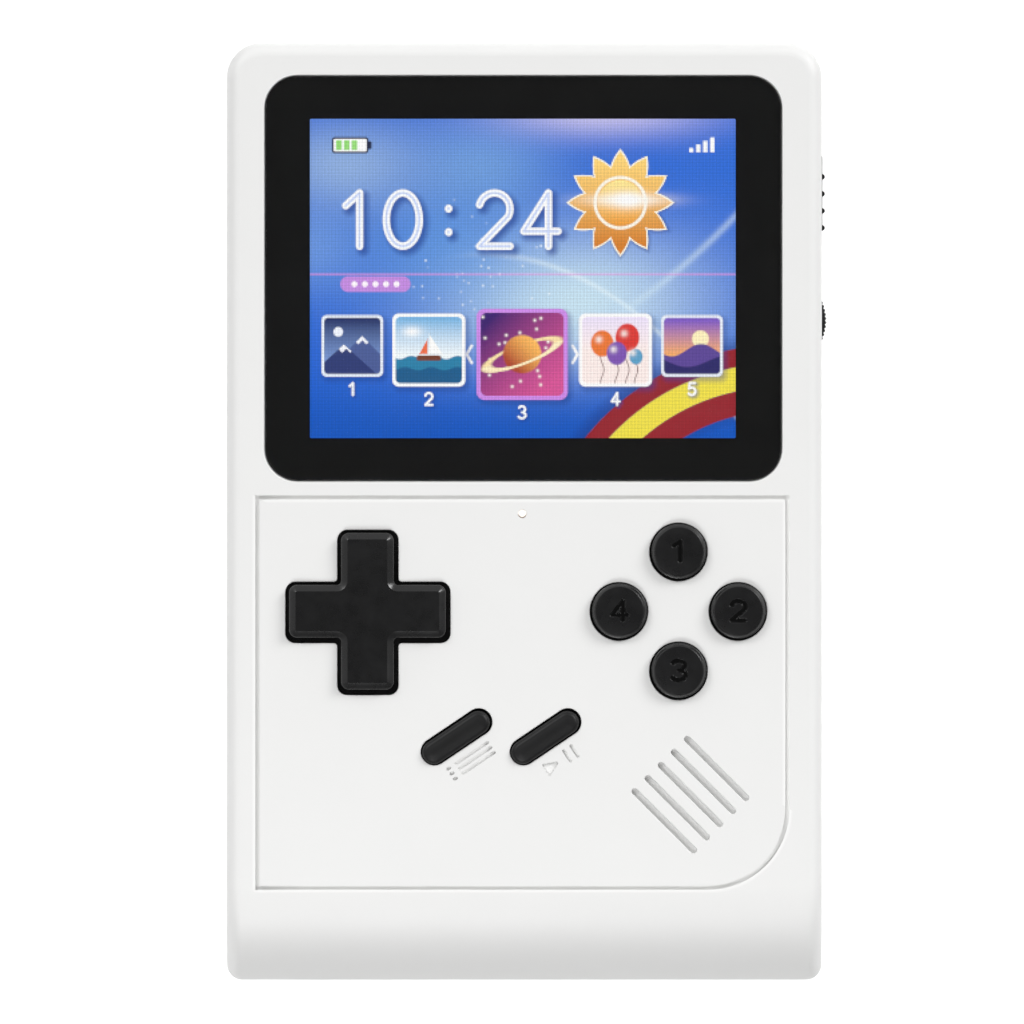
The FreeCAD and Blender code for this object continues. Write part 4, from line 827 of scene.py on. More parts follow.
padShape = {
    "span": 22.3 * mm, "arm": 7.5 * mm, "tipCorner": 1.1 * mm, "innerCorner": 0.6 * mm,
    "leastCorner": 0.2 * mm, "bevelIn": 0.92 * mm, "bevelDown": 0.62 * mm, "bow": 0.25,
    "edgeRound": 0.12 * mm, "dish": 0.35 * mm, "flangeGap": 0.05 * mm, "flangeThickness": 1.0 * mm,
    "hubRadius": 2.4 * mm, "socketRadius": 1.25 * mm, "hubAbovePivot": 0.3 * mm, "socketFrom": 0.12,
    "socketRings": 7, "edgeRings": 9, "bevelShares": (0.12, 1, 9), "topShares": (0.97, 0.02, 24),
    "sharpAngle": 24,
}


# Height of a bowed bevel at a share of its way in.
def bevelRise(shape, share):
    return shape["bevelDown"] * share * (1 + shape["bow"] * (1 - share))


# Height of the pad's top, which is dish * (distance / reach) squared above its lowest point.
def dishedHeight(outline, topZ):
    reach = padShape["span"] / 2 - padShape["bevelIn"]
    share = np.clip(np.hypot(*outline.T) / reach, 0, 1)
    return topZ - padShape["dish"] * (1 - share ** 2)


# One closed surface, followed from the ball socket out over the hub and the flange, up the sides of the
# cross, over the bevel and in over the dished top. Every ring has the points of the cross outline, or lies
# on a circle at their angles.
def directionPad():
    shape = padShape
    low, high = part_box("dpad")
    centre = middleOf("dpad")[:2]
    pivotZ = middleOf("dpad_pivot_ball")[2]
    hubLow = pivotZ + shape["hubAbovePivot"]
    flangeRadius = (high.x - low.x) / 2
    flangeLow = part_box("dpad_membrane")[1].z + shape["flangeGap"]
    flangeHigh = flangeLow + shape["flangeThickness"]
    base = crossOutline(shape)
    circle = base / np.hypot(*base.T)[:, None]
    socket = shape["socketRadius"]
    angles = np.linspace(shape["socketFrom"], math.acos((hubLow - pivotZ) / socket), shape["socketRings"])
    profile = [(socket * math.sin(angle), pivotZ + socket * math.cos(angle)) for angle in angles]
    profile += [(shape["hubRadius"], hubLow), (shape["hubRadius"], flangeLow),
                (flangeRadius, flangeLow), (flangeRadius, flangeHigh)]
    rings = ringsOf(circle, centre, profile)
    rings.append(ringAt(base, centre, flangeHigh))
    top = crossOutline(shape, shape["bevelIn"])
    wallTop = dishedHeight(top, high.z) - shape["bevelDown"]
    edge = shape["edgeRound"]
    rings.append(ringAt(base, centre, wallTop - edge))
    for share in np.linspace(0, 1, shape["edgeRings"]):
        inset = edge / 2 * (1 - math.cos(share * math.pi / 2))
        rings.append(ringAt(crossOutline(shape, inset), centre, wallTop - edge + edge * share))
    for share in np.linspace(*shape["bevelShares"]):
        inset = edge / 2 + (shape["bevelIn"] - edge / 2) * share
        rings.append(ringAt(crossOutline(shape, inset), centre, wallTop + bevelRise(shape, share)))
    for share in np.linspace(*shape["topShares"]):
        rings.append(ringAt(top * share, centre, dishedHeight(top * share, high.z)))
    piece = makePiece("directionPad", *ringSolid(np.stack(rings)), keyPlastic, shape["sharpAngle"])
    return fitPiece(piece, "dpad", "black_keys", "dpad")


directionPad()
print("direction pad made")


# Round buttons

roundKey = {
    "radius": 3.9 * mm, "bevelIn": 0.5 * mm, "bevelDown": 0.4 * mm, "bow": 0.4, "edgeRound": 0.12 * mm,
    "crown": 0.16 * mm, "stemRadius": 3.0 * mm, "stemInner": 0.3, "flangeRadius": 4.8 * mm,
    "flangeThickness": 1.0 * mm, "tabReach": 0.7 * mm, "tabWidth": 1.4 * mm, "guideTop": 18.9 * mm,
    "columns": 320, "edgeRings": 6, "bevelShares": (0.15, 1, 7), "topRings": 90, "middleRadius": 0.03 * mm,
    "sharpAngle": 22,
}
numeralCut = {"height": 2.75 * mm, "stretch": 1.2, "stroke": 0.7 * mm, "depth": 0.17 * mm, "wall": 0.15 * mm}
roundKeys = {
    "top": {"numeral": "1", "outwards": math.pi / 2}, "right": {"numeral": "2", "outwards": 0.0},
    "bottom": {"numeral": "3", "outwards": -math.pi / 2}, "left": {"numeral": "4", "outwards": math.pi},
}


# The tab on the flange widens a button's box on its outer side, so its centre comes from the inner one.
def buttonCentre(side):
    low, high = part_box("button_" + side)
    x, y = middleOf("button_" + side)[:2]
    reach = roundKey["flangeRadius"]
    places = {"top": (x, low.y + reach), "right": (low.x + reach, y), "bottom": (x, high.y - reach),
              "left": (high.x - reach, y)}
    return np.array(places[side])


# Share of the engraving's depth at flat points about a key's middle: 1 inside a stroke, with sloping walls.
def numeralDepth(flat, numeral):
    cut = numeralCut
    across = flat[:, 0] / cut["height"] / cut["stretch"] + numeralWidth / 2
    up = flat[:, 1] / cut["height"] + 0.5
    near = strokeDistance(across, up, numeralStrokes[numeral]) * cut["height"]
    return 1 - smoothStep(cut["stroke"] / 2 - cut["wall"], cut["stroke"] / 2, near)


# Rings out from under the stem, round the flange, up the side, over a bowed bevel and in over a domed
# top. The top's height is crown * (1 - (r / R) squared), less the engraving's depth in a numeral; the share
# of that depth is kept as the attribute "sunk".
def roundButton(side, numeral, outwards):
    shape = roundKey
    low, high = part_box("button_" + side)
    centre = buttonCentre(side)
    circle = unitCircle(shape["columns"])
    away = np.abs((turnsOf(shape["columns"]) - outwards + np.pi) % (2 * np.pi) - np.pi)
    onTab = away * shape["flangeRadius"] < shape["tabWidth"] / 2
    flange = (shape["flangeRadius"] + shape["tabReach"] * onTab)[:, None]
    flangeHigh = shape["guideTop"]
    flangeLow = flangeHigh - shape["flangeThickness"]
    topZ = high.z - shape["crown"]
    shoulder = topZ - shape["bevelDown"]
    stem, radius, edge = shape["stemRadius"], shape["radius"], shape["edgeRound"]
    profile = [(stem * shape["stemInner"], low.z), (stem, low.z), (stem, flangeLow), (flange, flangeLow),
               (flange, flangeHigh), (radius, flangeHigh)]
    for cosine, sine in quarterTurn(shape["edgeRings"]):
        profile.append((radius - edge * (1 - cosine), shoulder - edge * (1 - sine)))
    flatRadius = radius - shape["bevelIn"]
    for share in np.linspace(*shape["bevelShares"]):
        across = radius - edge + (flatRadius - radius + edge) * share
        profile.append((across, shoulder + bevelRise(shape, share)))
    rings = ringsOf(circle, centre, profile)
    sunk = [np.zeros(shape["columns"])] * len(rings)
    for reach in np.linspace(flatRadius, shape["middleRadius"], shape["topRings"])[1:]:
        depth = numeralDepth(circle * reach, numeral)
        height = topZ + shape["crown"] * (1 - (reach / flatRadius) ** 2)
        rings.append(ringAt(circle * reach, centre, height - numeralCut["depth"] * depth))
        sunk.append(depth)
    name = "roundButton" + side.capitalize()
    piece = makePiece(name, *ringSolid(np.stack(rings)), numeralPlastic, shape["sharpAngle"])
    addAttribute(piece, "sunk", "FLOAT", "POINT", np.concatenate([*sunk, [0, sunk[-1].mean()]]))
    return fitPiece(piece, "button_" + side, "black_keys", "button_" + side)


for side, key in roundKeys.items():
    roundButton(side, **key)
print("round buttons made")


# Pill buttons

pillKey = {
    "length": 10.97 * mm, "width": 3.37 * mm, "tilt": math.radians(33.9), "edge": 0.8 * mm, "crown": 0.1 * mm,
    "sideEnd": 0.1 * mm, "flangeWidth": 0.9 * mm, "flangeThickness": 1.0 * mm, "stemShorter": 4.0 * mm,
    "stemNarrower": 0.4 * mm, "stemInner": 0.4, "edgeRings": 12, "topShares": (1, 0.02, 12), "sharpAngle": 50,
}


# Slot outlines from the stem up; the edge is a quarter ellipse, and the top rises to the middle line
# by crown * (1 - (distance from it / half width) squared).
def pillButton(side):
    shape = pillKey
    node = "pill_button_" + side
    low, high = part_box(node)
    centre = middleOf(node)[:2]
    length, width, edge = shape["length"], shape["width"], shape["edge"]

    def ring(grow, z):
        return ringAt(slotOutline(length + 2 * grow, width + 2 * grow, shape["tilt"]), centre, z)

    flangeHigh = roundKey["guideTop"]
    flangeLow = flangeHigh - shape["flangeThickness"]
    stem = slotOutline(length - shape["stemShorter"], width - shape["stemNarrower"], shape["tilt"])
    rings = ringsOf(stem, centre, [(shape["stemInner"], low.z), (1, low.z), (1, flangeLow)])
    rings += [ring(shape["flangeWidth"], flangeLow), ring(shape["flangeWidth"], flangeHigh)]
    topZ = high.z - shape["crown"]
    shoulder = topZ - edge
    rings += [ring(0, flangeHigh), ring(0, shoulder - shape["sideEnd"])]
    for cosine, sine in quarterTurn(shape["edgeRings"]):
        rings.append(ring(-edge * (1 - cosine), shoulder + edge * sine))
    flatHalf = width / 2 - edge
    for share in np.linspace(*shape["topShares"])[1:]:
        rings.append(ring(flatHalf * share - width / 2, topZ + shape["crown"] * (1 - share ** 2)))
    name = "pillButton" + side.capitalize()
    piece = makePiece(name, *ringSolid(np.stack(rings)), pillPlastic, shape["sharpAngle"])
    return fitPiece(piece, node, "black_keys", node)


for side in ("left", "right"):
    pillButton(side)
print("pill buttons made")


# Rubber mats and domes under the keys

rubberMat = {
    "thickness": 0.8 * mm, "holeRadius": 2.4 * mm, "padCorner": 6.0 * mm, "pillCorner": 2.0 * mm,
    "padDomes": 7.6 * mm, "seatHole": 2.7 * mm,
}
rubberDome = {
    "footRadius": 3.0 * mm, "shoulderRadius": 2.15 * mm, "topRadius": 1.9 * mm, "web": 0.72,
    "crown": 0.15 * mm, "contactRadius": 1.4 * mm, "contactInner": 0.3, "contactDepth": 1.0 * mm,
    "columns": 64, "shoulderRings": 6, "topShares": (1, 0.05, 8), "sharpAngle": 30, "keyKeep": 0.42,
    "padKeep": 0.7,
}


# Closed skin of one dome, followed from its contact face out to the foot, up the cone of the web, round the
# shoulder and in over the top, which rises to the middle by crown * (1 - (r / R) squared).
def domeUnder(name, node, centre):
    shape = rubberDome
    low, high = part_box(node)
    foot = low.z + rubberMat["thickness"]
    web = foot + (high.z - foot) * shape["web"]
    contact = high.z - shape["contactDepth"]
    top, shoulder = shape["topRadius"], shape["shoulderRadius"]
    profile = [(shape["contactRadius"] * shape["contactInner"], contact), (shape["contactRadius"], contact),
               (rubberMat["holeRadius"], foot), (shape["footRadius"], foot)]
    for cosine, sine in quarterTurn(shape["shoulderRings"]):
        profile.append((top + (shoulder - top) * cosine, web + (high.z - shape["crown"] - web) * sine))
    for share in np.linspace(*shape["topShares"])[1:]:
        profile.append((top * share, high.z - shape["crown"] * share ** 2))
    rings = ringsOf(unitCircle(shape["columns"]), centre, profile)
    piece = makePiece(name, *ringSolid(np.stack(rings)), finishes["grey_rubber"], shape["sharpAngle"])
    fitPiece(piece, "root", "grey_rubber", node)
    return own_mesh(piece)


# Mat that lies on the board, with a hole under each dome.
def matUnder(name, node, outline, domes, seats=()):
    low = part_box(node)[0].z
    holes = [(centre, rubberMat["holeRadius"]) for centre in domes] + list(seats)
    plate = piercedPlate(outline, holes, low, low + rubberMat["thickness"])
    return fitPiece(makePiece(name, *plate, finishes["grey_rubber"]), "root", "grey_rubber", node)


def matOutline(node, corner):
    low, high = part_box(node)
    return roundedOutline(boxCorners(low.x, low.y, high.x, high.y), [corner] * 4)


def padMat():
    node = "dpad_membrane"
    centre = middleOf(node)[:2]
    middles = unitCircle(4) * rubberMat["padDomes"] + centre
    seats = [(centre, rubberMat["seatHole"])]
    matUnder("padMat", node, matOutline(node, rubberMat["padCorner"]), middles, seats)
    joints = ["dpad_left_right", "dpad_up_down"] * 2
    for label, joint, middle in zip(("Right", "Up", "Left", "Down"), joints, middles):
        domeUnder("padDome" + label, node, middle)


# The round keys' mat is as wide as the feet of its domes, with straight sides between them.
def roundMat():
    node = "face_button_membrane"
    foot = rubberDome["footRadius"]
    centre = middleOf(node)[:2]
    middles = {side: buttonCentre(side) for side in roundKeys}
    spread = np.hypot(*(middles["top"] - centre))
    corners = unitCircle(4) * (spread + foot * math.sqrt(2)) + centre
    matUnder("roundMat", node, roundedOutline(corners, [foot] * 4), middles.values())
    for side, middle in middles.items():
        domeUnder("roundDome" + side.capitalize(), node, middle)


def pillMat():
    node = "pill_membrane"
    middles = {side: middleOf("pill_button_" + side)[:2] for side in ("left", "right")}
    matUnder("pillMat", node, matOutline(node, rubberMat["pillCorner"]), middles.values())
    for side, middle in middles.items():
        domeUnder("pillDome" + side.capitalize(), node, middle)


padMat()
roundMat()
pillMat()
print("rubber mats made")


# Lens print

lensPrint = {
    "lift": 0.02 * mm, "thickness": 0.02 * mm, "edgeInset": 0.12 * mm, "cornerRadius": 4.55 * mm,
    "windowWidth": 60.64 * mm, "windowHeight": 45.5 * mm, "windowCentre": (-0.21 * mm, 33.2 * mm),
    "windowCorner": 0.2 * mm,
}


# Black print on the back of the lens: a flat frame between two outlines with the same count of points.
def lensInk():
    low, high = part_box("screen_lens")
    width = high.x - low.x - 2 * lensPrint["edgeInset"]
    height = high.y - low.y - 2 * lensPrint["edgeInset"]
    outer = boxOutline(middleOf("screen_lens")[:2], width, height, lensPrint["cornerRadius"])
    inner = boxOutline(lensPrint["windowCentre"], lensPrint["windowWidth"], lensPrint["windowHeight"],
                       lensPrint["windowCorner"])
    bottom = low.z + lensPrint["lift"]
    top = bottom + lensPrint["thickness"]
    corners = ((outer, bottom), (outer, top), (inner, top), (inner, bottom))
    rings = np.stack([ringAt(outline, (0, 0), z) for outline, z in corners])
    return fitPiece(makePiece("lensInk", *ringLoop(rings), lensInkBlack), "root", "clear_lens")


lensInk()
print("lens print made")


# Lit picture

dot = 0.19     # size of one dot of the display, in the picture's millimetres
white = (255, 255, 255)
picture = {
    "width": 60.96 * mm, "height": 45.72 * mm, "centre": (-0.32 * mm, 33.26 * mm),
    "columns": 320, "rows": 240, "lift": 0.02 * mm, "roughness": 0.35, "brightness": 1.06,
    "unlit": paint(10, 10, 12), "ripplePitch": 0.485, "rippleDepth": 0.07, "rippleLevel": 0.6,
    "grainSeed": 11, "grain": 0.02,
}


# Distance outside a rounded box about (x, y), negative inside.
def boxDistance(u, v, x, y, width, height, radius):
    across = np.abs(u - x) - width / 2 + radius
    up = np.abs(v - y) - height / 2 + radius
    outside = np.hypot(np.maximum(across, 0), np.maximum(up, 0))
    return outside + np.minimum(np.maximum(across, up), 0) - radius


# Distance to the strokes of a word of numerals whose lower left corner is (x, y).
def wordDistance(u, v, word, x, y, height, gap=0.24):
    nearest = np.full(u.shape, np.inf)
    for index, numeral in enumerate(word):
        left = x + index * height * (numeralWidth + gap)
        away = strokeDistance((u - left) / height, (v - y) / height, numeralStrokes[numeral]) * height
        nearest = np.minimum(nearest, away)
    return nearest


# Masks: of a shape, from the distance to its edge, and of a soft patch of light.
def inside(distance, soft=dot):
    return np.clip(0.5 - distance / soft, 0, 1)


def glow(distance, reach):
    return np.exp(-(distance / reach) ** 2)


def glowAt(u, v, x, y, wider, reach):
    return glow(np.hypot((u - x) / wider, v - y), reach)


# Sum of the same small light at each of some places.
def sparkle(u, v, places, reach, strength=1.0):
    lights = glowAt(u[..., None], v[..., None], *places.T, 1, reach)
    return (strength * lights).sum(-1)


def tintOf(colour):
    return np.array(paint(*colour)[:3])


# Colour that runs from low to high as the share goes from 0 to 1.
def fade(low, high, share):
    return tintOf(low) + (tintOf(high) - tintOf(low)) * np.clip(share, 0, 1)[..., None]


# Layers of a screen colour, or of an array of linear ones, laid over the canvas through their masks.
def over(canvas, *layers):
    for colour, mask in layers:
        tint = tintOf(colour) if isinstance(colour, tuple) else colour
        canvas = canvas + (tint - canvas) * np.clip(mask, 0, 1)[..., None]
    return canvas


# Layers of a word: a soft shadow below it to the right, then its strokes, each given as half its width and
# its colour.
def wordLayers(u, v, word, x, y, look):
    height, shift = look["height"], look["shift"]
    shadow = wordDistance(u, v, word, x + shift, y - shift, height) - look["shadowHalf"]
    numerals = wordDistance(u, v, word, x, y, height)
    layers = [(look["shadow"], look["shade"] * inside(shadow, look["shadowSoft"]))]
    return layers + [(tint, inside(numerals - half)) for half, tint in look["strokes"]]


# Patches of light are given as colour, strength, x, y, how much wider than high, and reach. The height of an
# arc of light is rise + slope * along + bend * along squared.
field = {
    "colours": ((34, 100, 210), (46, 108, 214)), "lean": 0.35, "across": 60,
    "patches": [
        ((204, 230, 242), 0.97, 38, 19.5, 1.9, 9.5), ((96, 160, 226), 0.5, 20, 27, 1.4, 9),
        ((176, 204, 228), 0.6, 5, 39, 1.8, 6.5), ((140, 186, 226), 0.5, 25, 39, 1.6, 6.5),
        ((140, 182, 232), 0.45, 0, 27, 1.2, 6.5), ((206, 200, 238), 0.9, 42, 46.5, 4.2, 3.4),
    ],
    "foot": {"colour": (6, 84, 188), "strength": 0.97, "y": 0.5, "reach": 7.0},
    "arcs": [
        {"colour": (226, 242, 250), "strength": 0.55, "start": 14, "rise": 24, "slope": 0.4, "bend": -0.018,
         "width": 0.45, "seenFrom": 18, "fullFrom": 40},
        {"colour": (214, 236, 248), "strength": 0.4, "start": 30, "rise": 11, "slope": 0.30, "bend": 0.012,
         "width": 0.7, "seenFrom": 26, "fullFrom": 54},
    ],
    "specks": {"seed": 7, "count": 46, "middle": (25, 24), "spread": (6.5, 5.0), "strength": (0.2, 0.9),
               "reach": 0.16, "colour": (240, 248, 255)},
}


# Blue field with a pale middle, a lilac edge of light at the top, thin arcs of light and scattered specks.
def drawField(u, v):
    canvas = fade(*field["colours"], (u - v * field["lean"]) / field["across"])
    for colour, strength, *patch in field["patches"]:
        canvas = over(canvas, (colour, strength * glowAt(u, v, *patch)))
    foot = field["foot"]
    canvas = over(canvas, (foot["colour"], foot["strength"] * glow(v - foot["y"], foot["reach"])))
    for arc in field["arcs"]:
        along = u - arc["start"]
        height = arc["rise"] + arc["slope"] * along + arc["bend"] * along ** 2
        seen = arc["strength"] * smoothStep(arc["seenFrom"], arc["fullFrom"], u)
        canvas = over(canvas, (arc["colour"], seen * glow(v - height, arc["width"])))
    specks = field["specks"]
    random = np.random.default_rng(specks["seed"])
    places = random.normal(specks["middle"], specks["spread"], (specks["count"], 2))
    strengths = random.uniform(*specks["strength"], specks["count"])
    return over(canvas, (specks["colour"], sparkle(u, v, places, specks["reach"], strengths)))


sun = {
    "place": (44.5, 33.6), "rays": 12, "rayFrom": 5.0, "rayLength": 2.3, "border": 0.38, "disc": 3.2,
    "ring": 3.6, "ringHalf": 0.22, "shift": 0.5, "shadowSoft": 1.2, "shadow": 0.75, "shine": (1, 0.4),
    "streak": (6.5, 0.85), "streakStrength": 0.95, "spot": (2.0, 1.1),
    "tints": {"shadow": (16, 56, 140), "border": (255, 246, 226), "ring": (255, 248, 232),
              "streak": (255, 250, 240)},
    "gold": ((214, 128, 44), (255, 214, 122)), "goldHeight": 12,
    "yellow": ((240, 160, 60), (255, 232, 150)), "yellowHeight": 6,
}


# Gold sun: a disc inside a ring of rays, the radius of the rays being a sharpened wave round the centre.
def drawSun(canvas, u, v):
    tints = sun["tints"]
    across = u - sun["place"][0]
    up = v - sun["place"][1]
    away = np.hypot(across, up)
    wave = np.abs((np.arctan2(up, across) * sun["rays"] / (2 * np.pi)) % 1 - 0.5) * 2
    tips = sun["rayFrom"] + sun["rayLength"] * wave
    shadow = np.hypot(across - sun["shift"], up + sun["shift"]) - tips
    streak = glowAt(across, up, *sun["shine"], *sun["streak"])
    gold = fade(*sun["gold"], up / sun["goldHeight"] + 0.5)
    yellow = fade(*sun["yellow"], up / sun["yellowHeight"] + 0.5)
    return over(
        canvas,
        (tints["shadow"], sun["shadow"] * inside(shadow, sun["shadowSoft"])),
        (tints["border"], inside(away - tips - sun["border"])),
        (gold, inside(away - tips)),
        (tints["ring"], inside(np.abs(away - sun["ring"]) - sun["ringHalf"])),
        (yellow, inside(away - sun["disc"])),
        (tints["streak"], sun["streakStrength"] * streak),
        (white, glowAt(across, up, *sun["shine"], *sun["spot"])),
    )


# Small pictures on the tiles, each in its own square coordinates from -1 to 1

sceneEdge = 0.05


def discDistance(s, t, x, y, radius):
    return np.hypot(s - x, t - y) - radius


# Height above a wavy line, which is level + swell * sin(rate * s + shift).
def aboveWave(s, t, level, swell, rate, shift=0):
    return t - level - swell * np.sin(rate * s + shift)


def hillScene(s, t, edge=0.06):
    return over(
        fade((250, 176, 92), (128, 92, 196), (t + 0.4) / 1.3),
        ((255, 240, 190), inside(discDistance(s, t, 0.3, 0.25, 0.3), edge)),
        ((92, 70, 150), inside(aboveWave(s, t, -0.15, 0.22, 3, 0.6), edge)),
        ((44, 40, 104), inside(aboveWave(s, t, -0.55, 0.2, 2.2, -1.2), edge)),
    )


# Each sail is the triangle between the mast, a slanting edge and the boom.
def sailScene(s, t, edge=sceneEdge, boom=-0.12):
    canvas = over(
        fade((244, 250, 252), (112, 178, 226), (t + 0.2) / 1.2),
        (white, 0.9 * glowAt(s, t, -0.5, 0.55, 1.8, 0.16)),
        ((40, 128, 168), inside(aboveWave(s, t, -0.22, 0.05, 9), edge)),
        ((24, 92, 140), inside(aboveWave(s, t, -0.56, 0.05, 8, 1), edge)),
    )
    sails = ((1, 0.02, 1.5, 0.5, (255, 255, 252)), (-1, 0.04, 1.8, 0.4, (238, 110, 70)))
    for side, gap, slope, top, tint in sails:
        sail = np.maximum(np.maximum(gap - side * s, t + side * slope * s - top), boom - t)
        canvas = over(canvas, (tint, inside(sail, edge)))
    return over(canvas, ((120, 62, 40), inside(boxDistance(s, t, 0.0, -0.24, 0.74, 0.16, 0.07), edge)))


# The ring is a flat ellipse, leaning; its near half is drawn once more over the globe.
def planetScene(s, t, seed=3, stars=22, ringEdge=0.12):
    places = np.random.default_rng(seed).uniform(-0.95, 0.95, (stars, 2))
    lean = t - 0.35 * s
    ring = inside(np.abs(np.hypot(s / 0.86, lean / 0.24) - 1) - 0.13, ringEdge)
    shade = fade((176, 72, 44), (255, 190, 96), (s + t + 0.5) / 1.1)
    return over(
        fade((60, 30, 110), (214, 84, 150), (s - t + 1.6) / 3),
        ((255, 250, 240), sparkle(s, t, places, 0.035)),
        ((252, 226, 170), ring),
        (shade, inside(discDistance(s, t, 0, 0, 0.46), sceneEdge)),
        ((255, 238, 196), ring * inside(lean, sceneEdge)),
    )


balloons = [
    (-0.4, 0.2, 0.34, (236, 120, 52)), (0.36, 0.38, 0.36, (220, 58, 52)),
    (0.04, -0.1, 0.3, (126, 84, 178)), (0.62, -0.2, 0.2, (92, 160, 200)),
]


# Each balloon is a string, an egg and a pale spot.
def balloonScene(s, t):
    canvas = fade((252, 236, 232), (236, 226, 250), t)
    for x, y, size, tint in balloons:
        string = np.abs(s - x - 0.05 * np.sin(8 * t)) - 0.015
        canvas = over(
            canvas,
            ((120, 90, 90), inside(string, 0.04) * (t < y)),
            (tint, inside(np.hypot(s - x, (t - y) * 0.86) - size, sceneEdge)),
            ((255, 246, 240), 0.8 * glowAt(s, t, x - 0.1, y + 0.12, 1, 0.1)),
        )
    return canvas


# Each mountain has a cap of snow with a wavy lower edge.
def peakScene(s, t, edge=sceneEdge):
    canvas = over(
        fade((120, 150, 208), (20, 34, 92), (t + 0.5) / 1.5),
        ((240, 244, 255), inside(discDistance(s, t, -0.5, 0.5, 0.17), edge)),
    )
    for x, peak, slope, tint in ((0.35, 0.35, 1.0, (74, 92, 150)), (-0.3, 0.05, 0.9, (44, 58, 116))):
        mountain = t - peak + slope * np.abs(s - x)
        cap = np.maximum(mountain, -aboveWave(s, t, peak - 0.22, 0.06, 22))
        canvas = over(canvas, (tint, inside(mountain, edge)), ((246, 248, 255), inside(cap, edge)))
    return canvas


# Tiles in millimetres: x, y, size, scene and colour of the border
tiles = [
    (6.3, 13.2, 8.8, peakScene, (232, 238, 248)), (17.2, 12.6, 10.4, sailScene, white),
    (30.5, 12.0, 13.0, planetScene, (206, 140, 232)), (43.8, 12.6, 10.4, balloonScene, white),
    (54.7, 13.2, 8.8, hillScene, (232, 238, 248)),
]
tileLook = {
    "corner": 0.09, "border": 0.045, "shade": 0.7, "shadow": (14, 52, 132), "shadowX": 0.35, "shadowY": -0.45,
    "shadowSoft": 1.4, "numberGap": 0.9,
}
tileNumber = {
    "height": 1.7, "shift": 0.2, "shade": 0.7, "shadow": (16, 60, 146), "shadowHalf": 0.25, "shadowSoft": 0.6,
    "strokes": [(0.17, white)],
}


# A tile: soft shadow, pale border, picture inside, and its number below.
def drawTile(canvas, u, v, number, x, y, size, scene, border):
    look = tileLook
    radius = size * look["corner"]
    edge = size * look["border"]
    half = size / 2 - edge
    left = x - tileNumber["height"] * numeralWidth / 2
    low = y - size / 2 - tileNumber["height"] - look["numberGap"]
    shadow = boxDistance(u, v, x + look["shadowX"], y + look["shadowY"], size, size, radius)
    inner = boxDistance(u, v, x, y, 2 * half, 2 * half, radius - edge / 2)
    return over(
        canvas,
        (look["shadow"], look["shade"] * inside(shadow, look["shadowSoft"])),
        (border, inside(boxDistance(u, v, x, y, size, size, radius))),
        (scene((u - x) / half, (v - y) / half), inside(inner)),
        *wordLayers(u, v, number, left, low, tileNumber),
    )


# Three ribbons that cross the lower right corner as parts of circles about one centre, and their shadow.
ribbons = {
    "centre": (67.0, -22.0), "radius": 31.0, "shade": 0.6, "shadow": (16, 40, 110), "shadowHalf": 5.2,
    "shadowSoft": 2.4,
    "bands": [(3.0, 2.6, (150, 34, 44)), (0.0, 3.4, (238, 222, 74)), (-3.4, 3.4, (150, 34, 44))],
}


def drawRibbons(canvas, u, v):
    away = discDistance(u, v, *ribbons["centre"], ribbons["radius"])
    shadow = inside(np.abs(away) - ribbons["shadowHalf"], ribbons["shadowSoft"])
    canvas = over(canvas, (ribbons["shadow"], ribbons["shade"] * shadow))
    for offset, width, tint in ribbons["bands"]:
        canvas = over(canvas, (tint, inside(np.abs(away - offset) - width / 2)))
    return canvas


clock = {
    "word": "10:24", "place": (4.6, 27.4), "height": 7.6, "shift": 0.5, "shade": 0.7, "shadow": (16, 58, 146),
    "shadowHalf": 0.75, "shadowSoft": 1.0, "strokes": [(0.52, white), (0.16, (200, 214, 248))],
}


# Row of boxes, from the first one's x, y, width, height and corner and what each step adds to them.
def boxRow(count, colour, first, step=(0, 0, 0, 0, 0)):
    return [(colour, np.add(first, np.multiply(step, index))) for index in range(count)]


# A pill with five dots, a battery with three cells, and four bars
batteryInk = (26, 34, 66)
signs = [
    *boxRow(1, (196, 140, 224), (9.6, 22.0, 10.0, 2.2, 1.1)),
    *boxRow(5, (255, 246, 255), (6.6, 22.0, 0.84, 0.84, 0.42), (1.5, 0, 0, 0, 0)),
    *boxRow(1, batteryInk, (6.0, 41.8, 5.2, 2.3, 0.4)),
    *boxRow(1, batteryInk, (8.75, 41.8, 0.6, 1.1, 0.2)),
    *boxRow(1, white, (6.0, 41.8, 4.7, 1.8, 0.2)),
    *boxRow(3, (150, 220, 120), (4.4, 41.8, 0.8, 1.4, 0.1), (1.1, 0, 0, 0, 0)),
    *boxRow(4, white, (54.6, 41.1, 0.6, 0.6, 0.1), (1.0, 0.25, 0, 0.5, 0)),
]
thinLine = {"y": 23.4, "half": 0.09, "colour": (236, 150, 226), "strength": 0.8}
arrows = {"x": 30.5, "y": 12.0, "near": 7.2, "far": 7.9, "rise": 1.2, "half": 0.2}


# Arrow heads on both sides of the middle tile.
def drawArrows(canvas, u, v):
    y, rise = arrows["y"], arrows["rise"]
    for side in (-1, 1):
        near = arrows["x"] + side * arrows["near"]
        head = [(near, y + rise), (arrows["x"] + side * arrows["far"], y), (near, y - rise)]
        canvas = over(canvas, (white, inside(strokeDistance(u, v, [head]) - arrows["half"])))
    return canvas


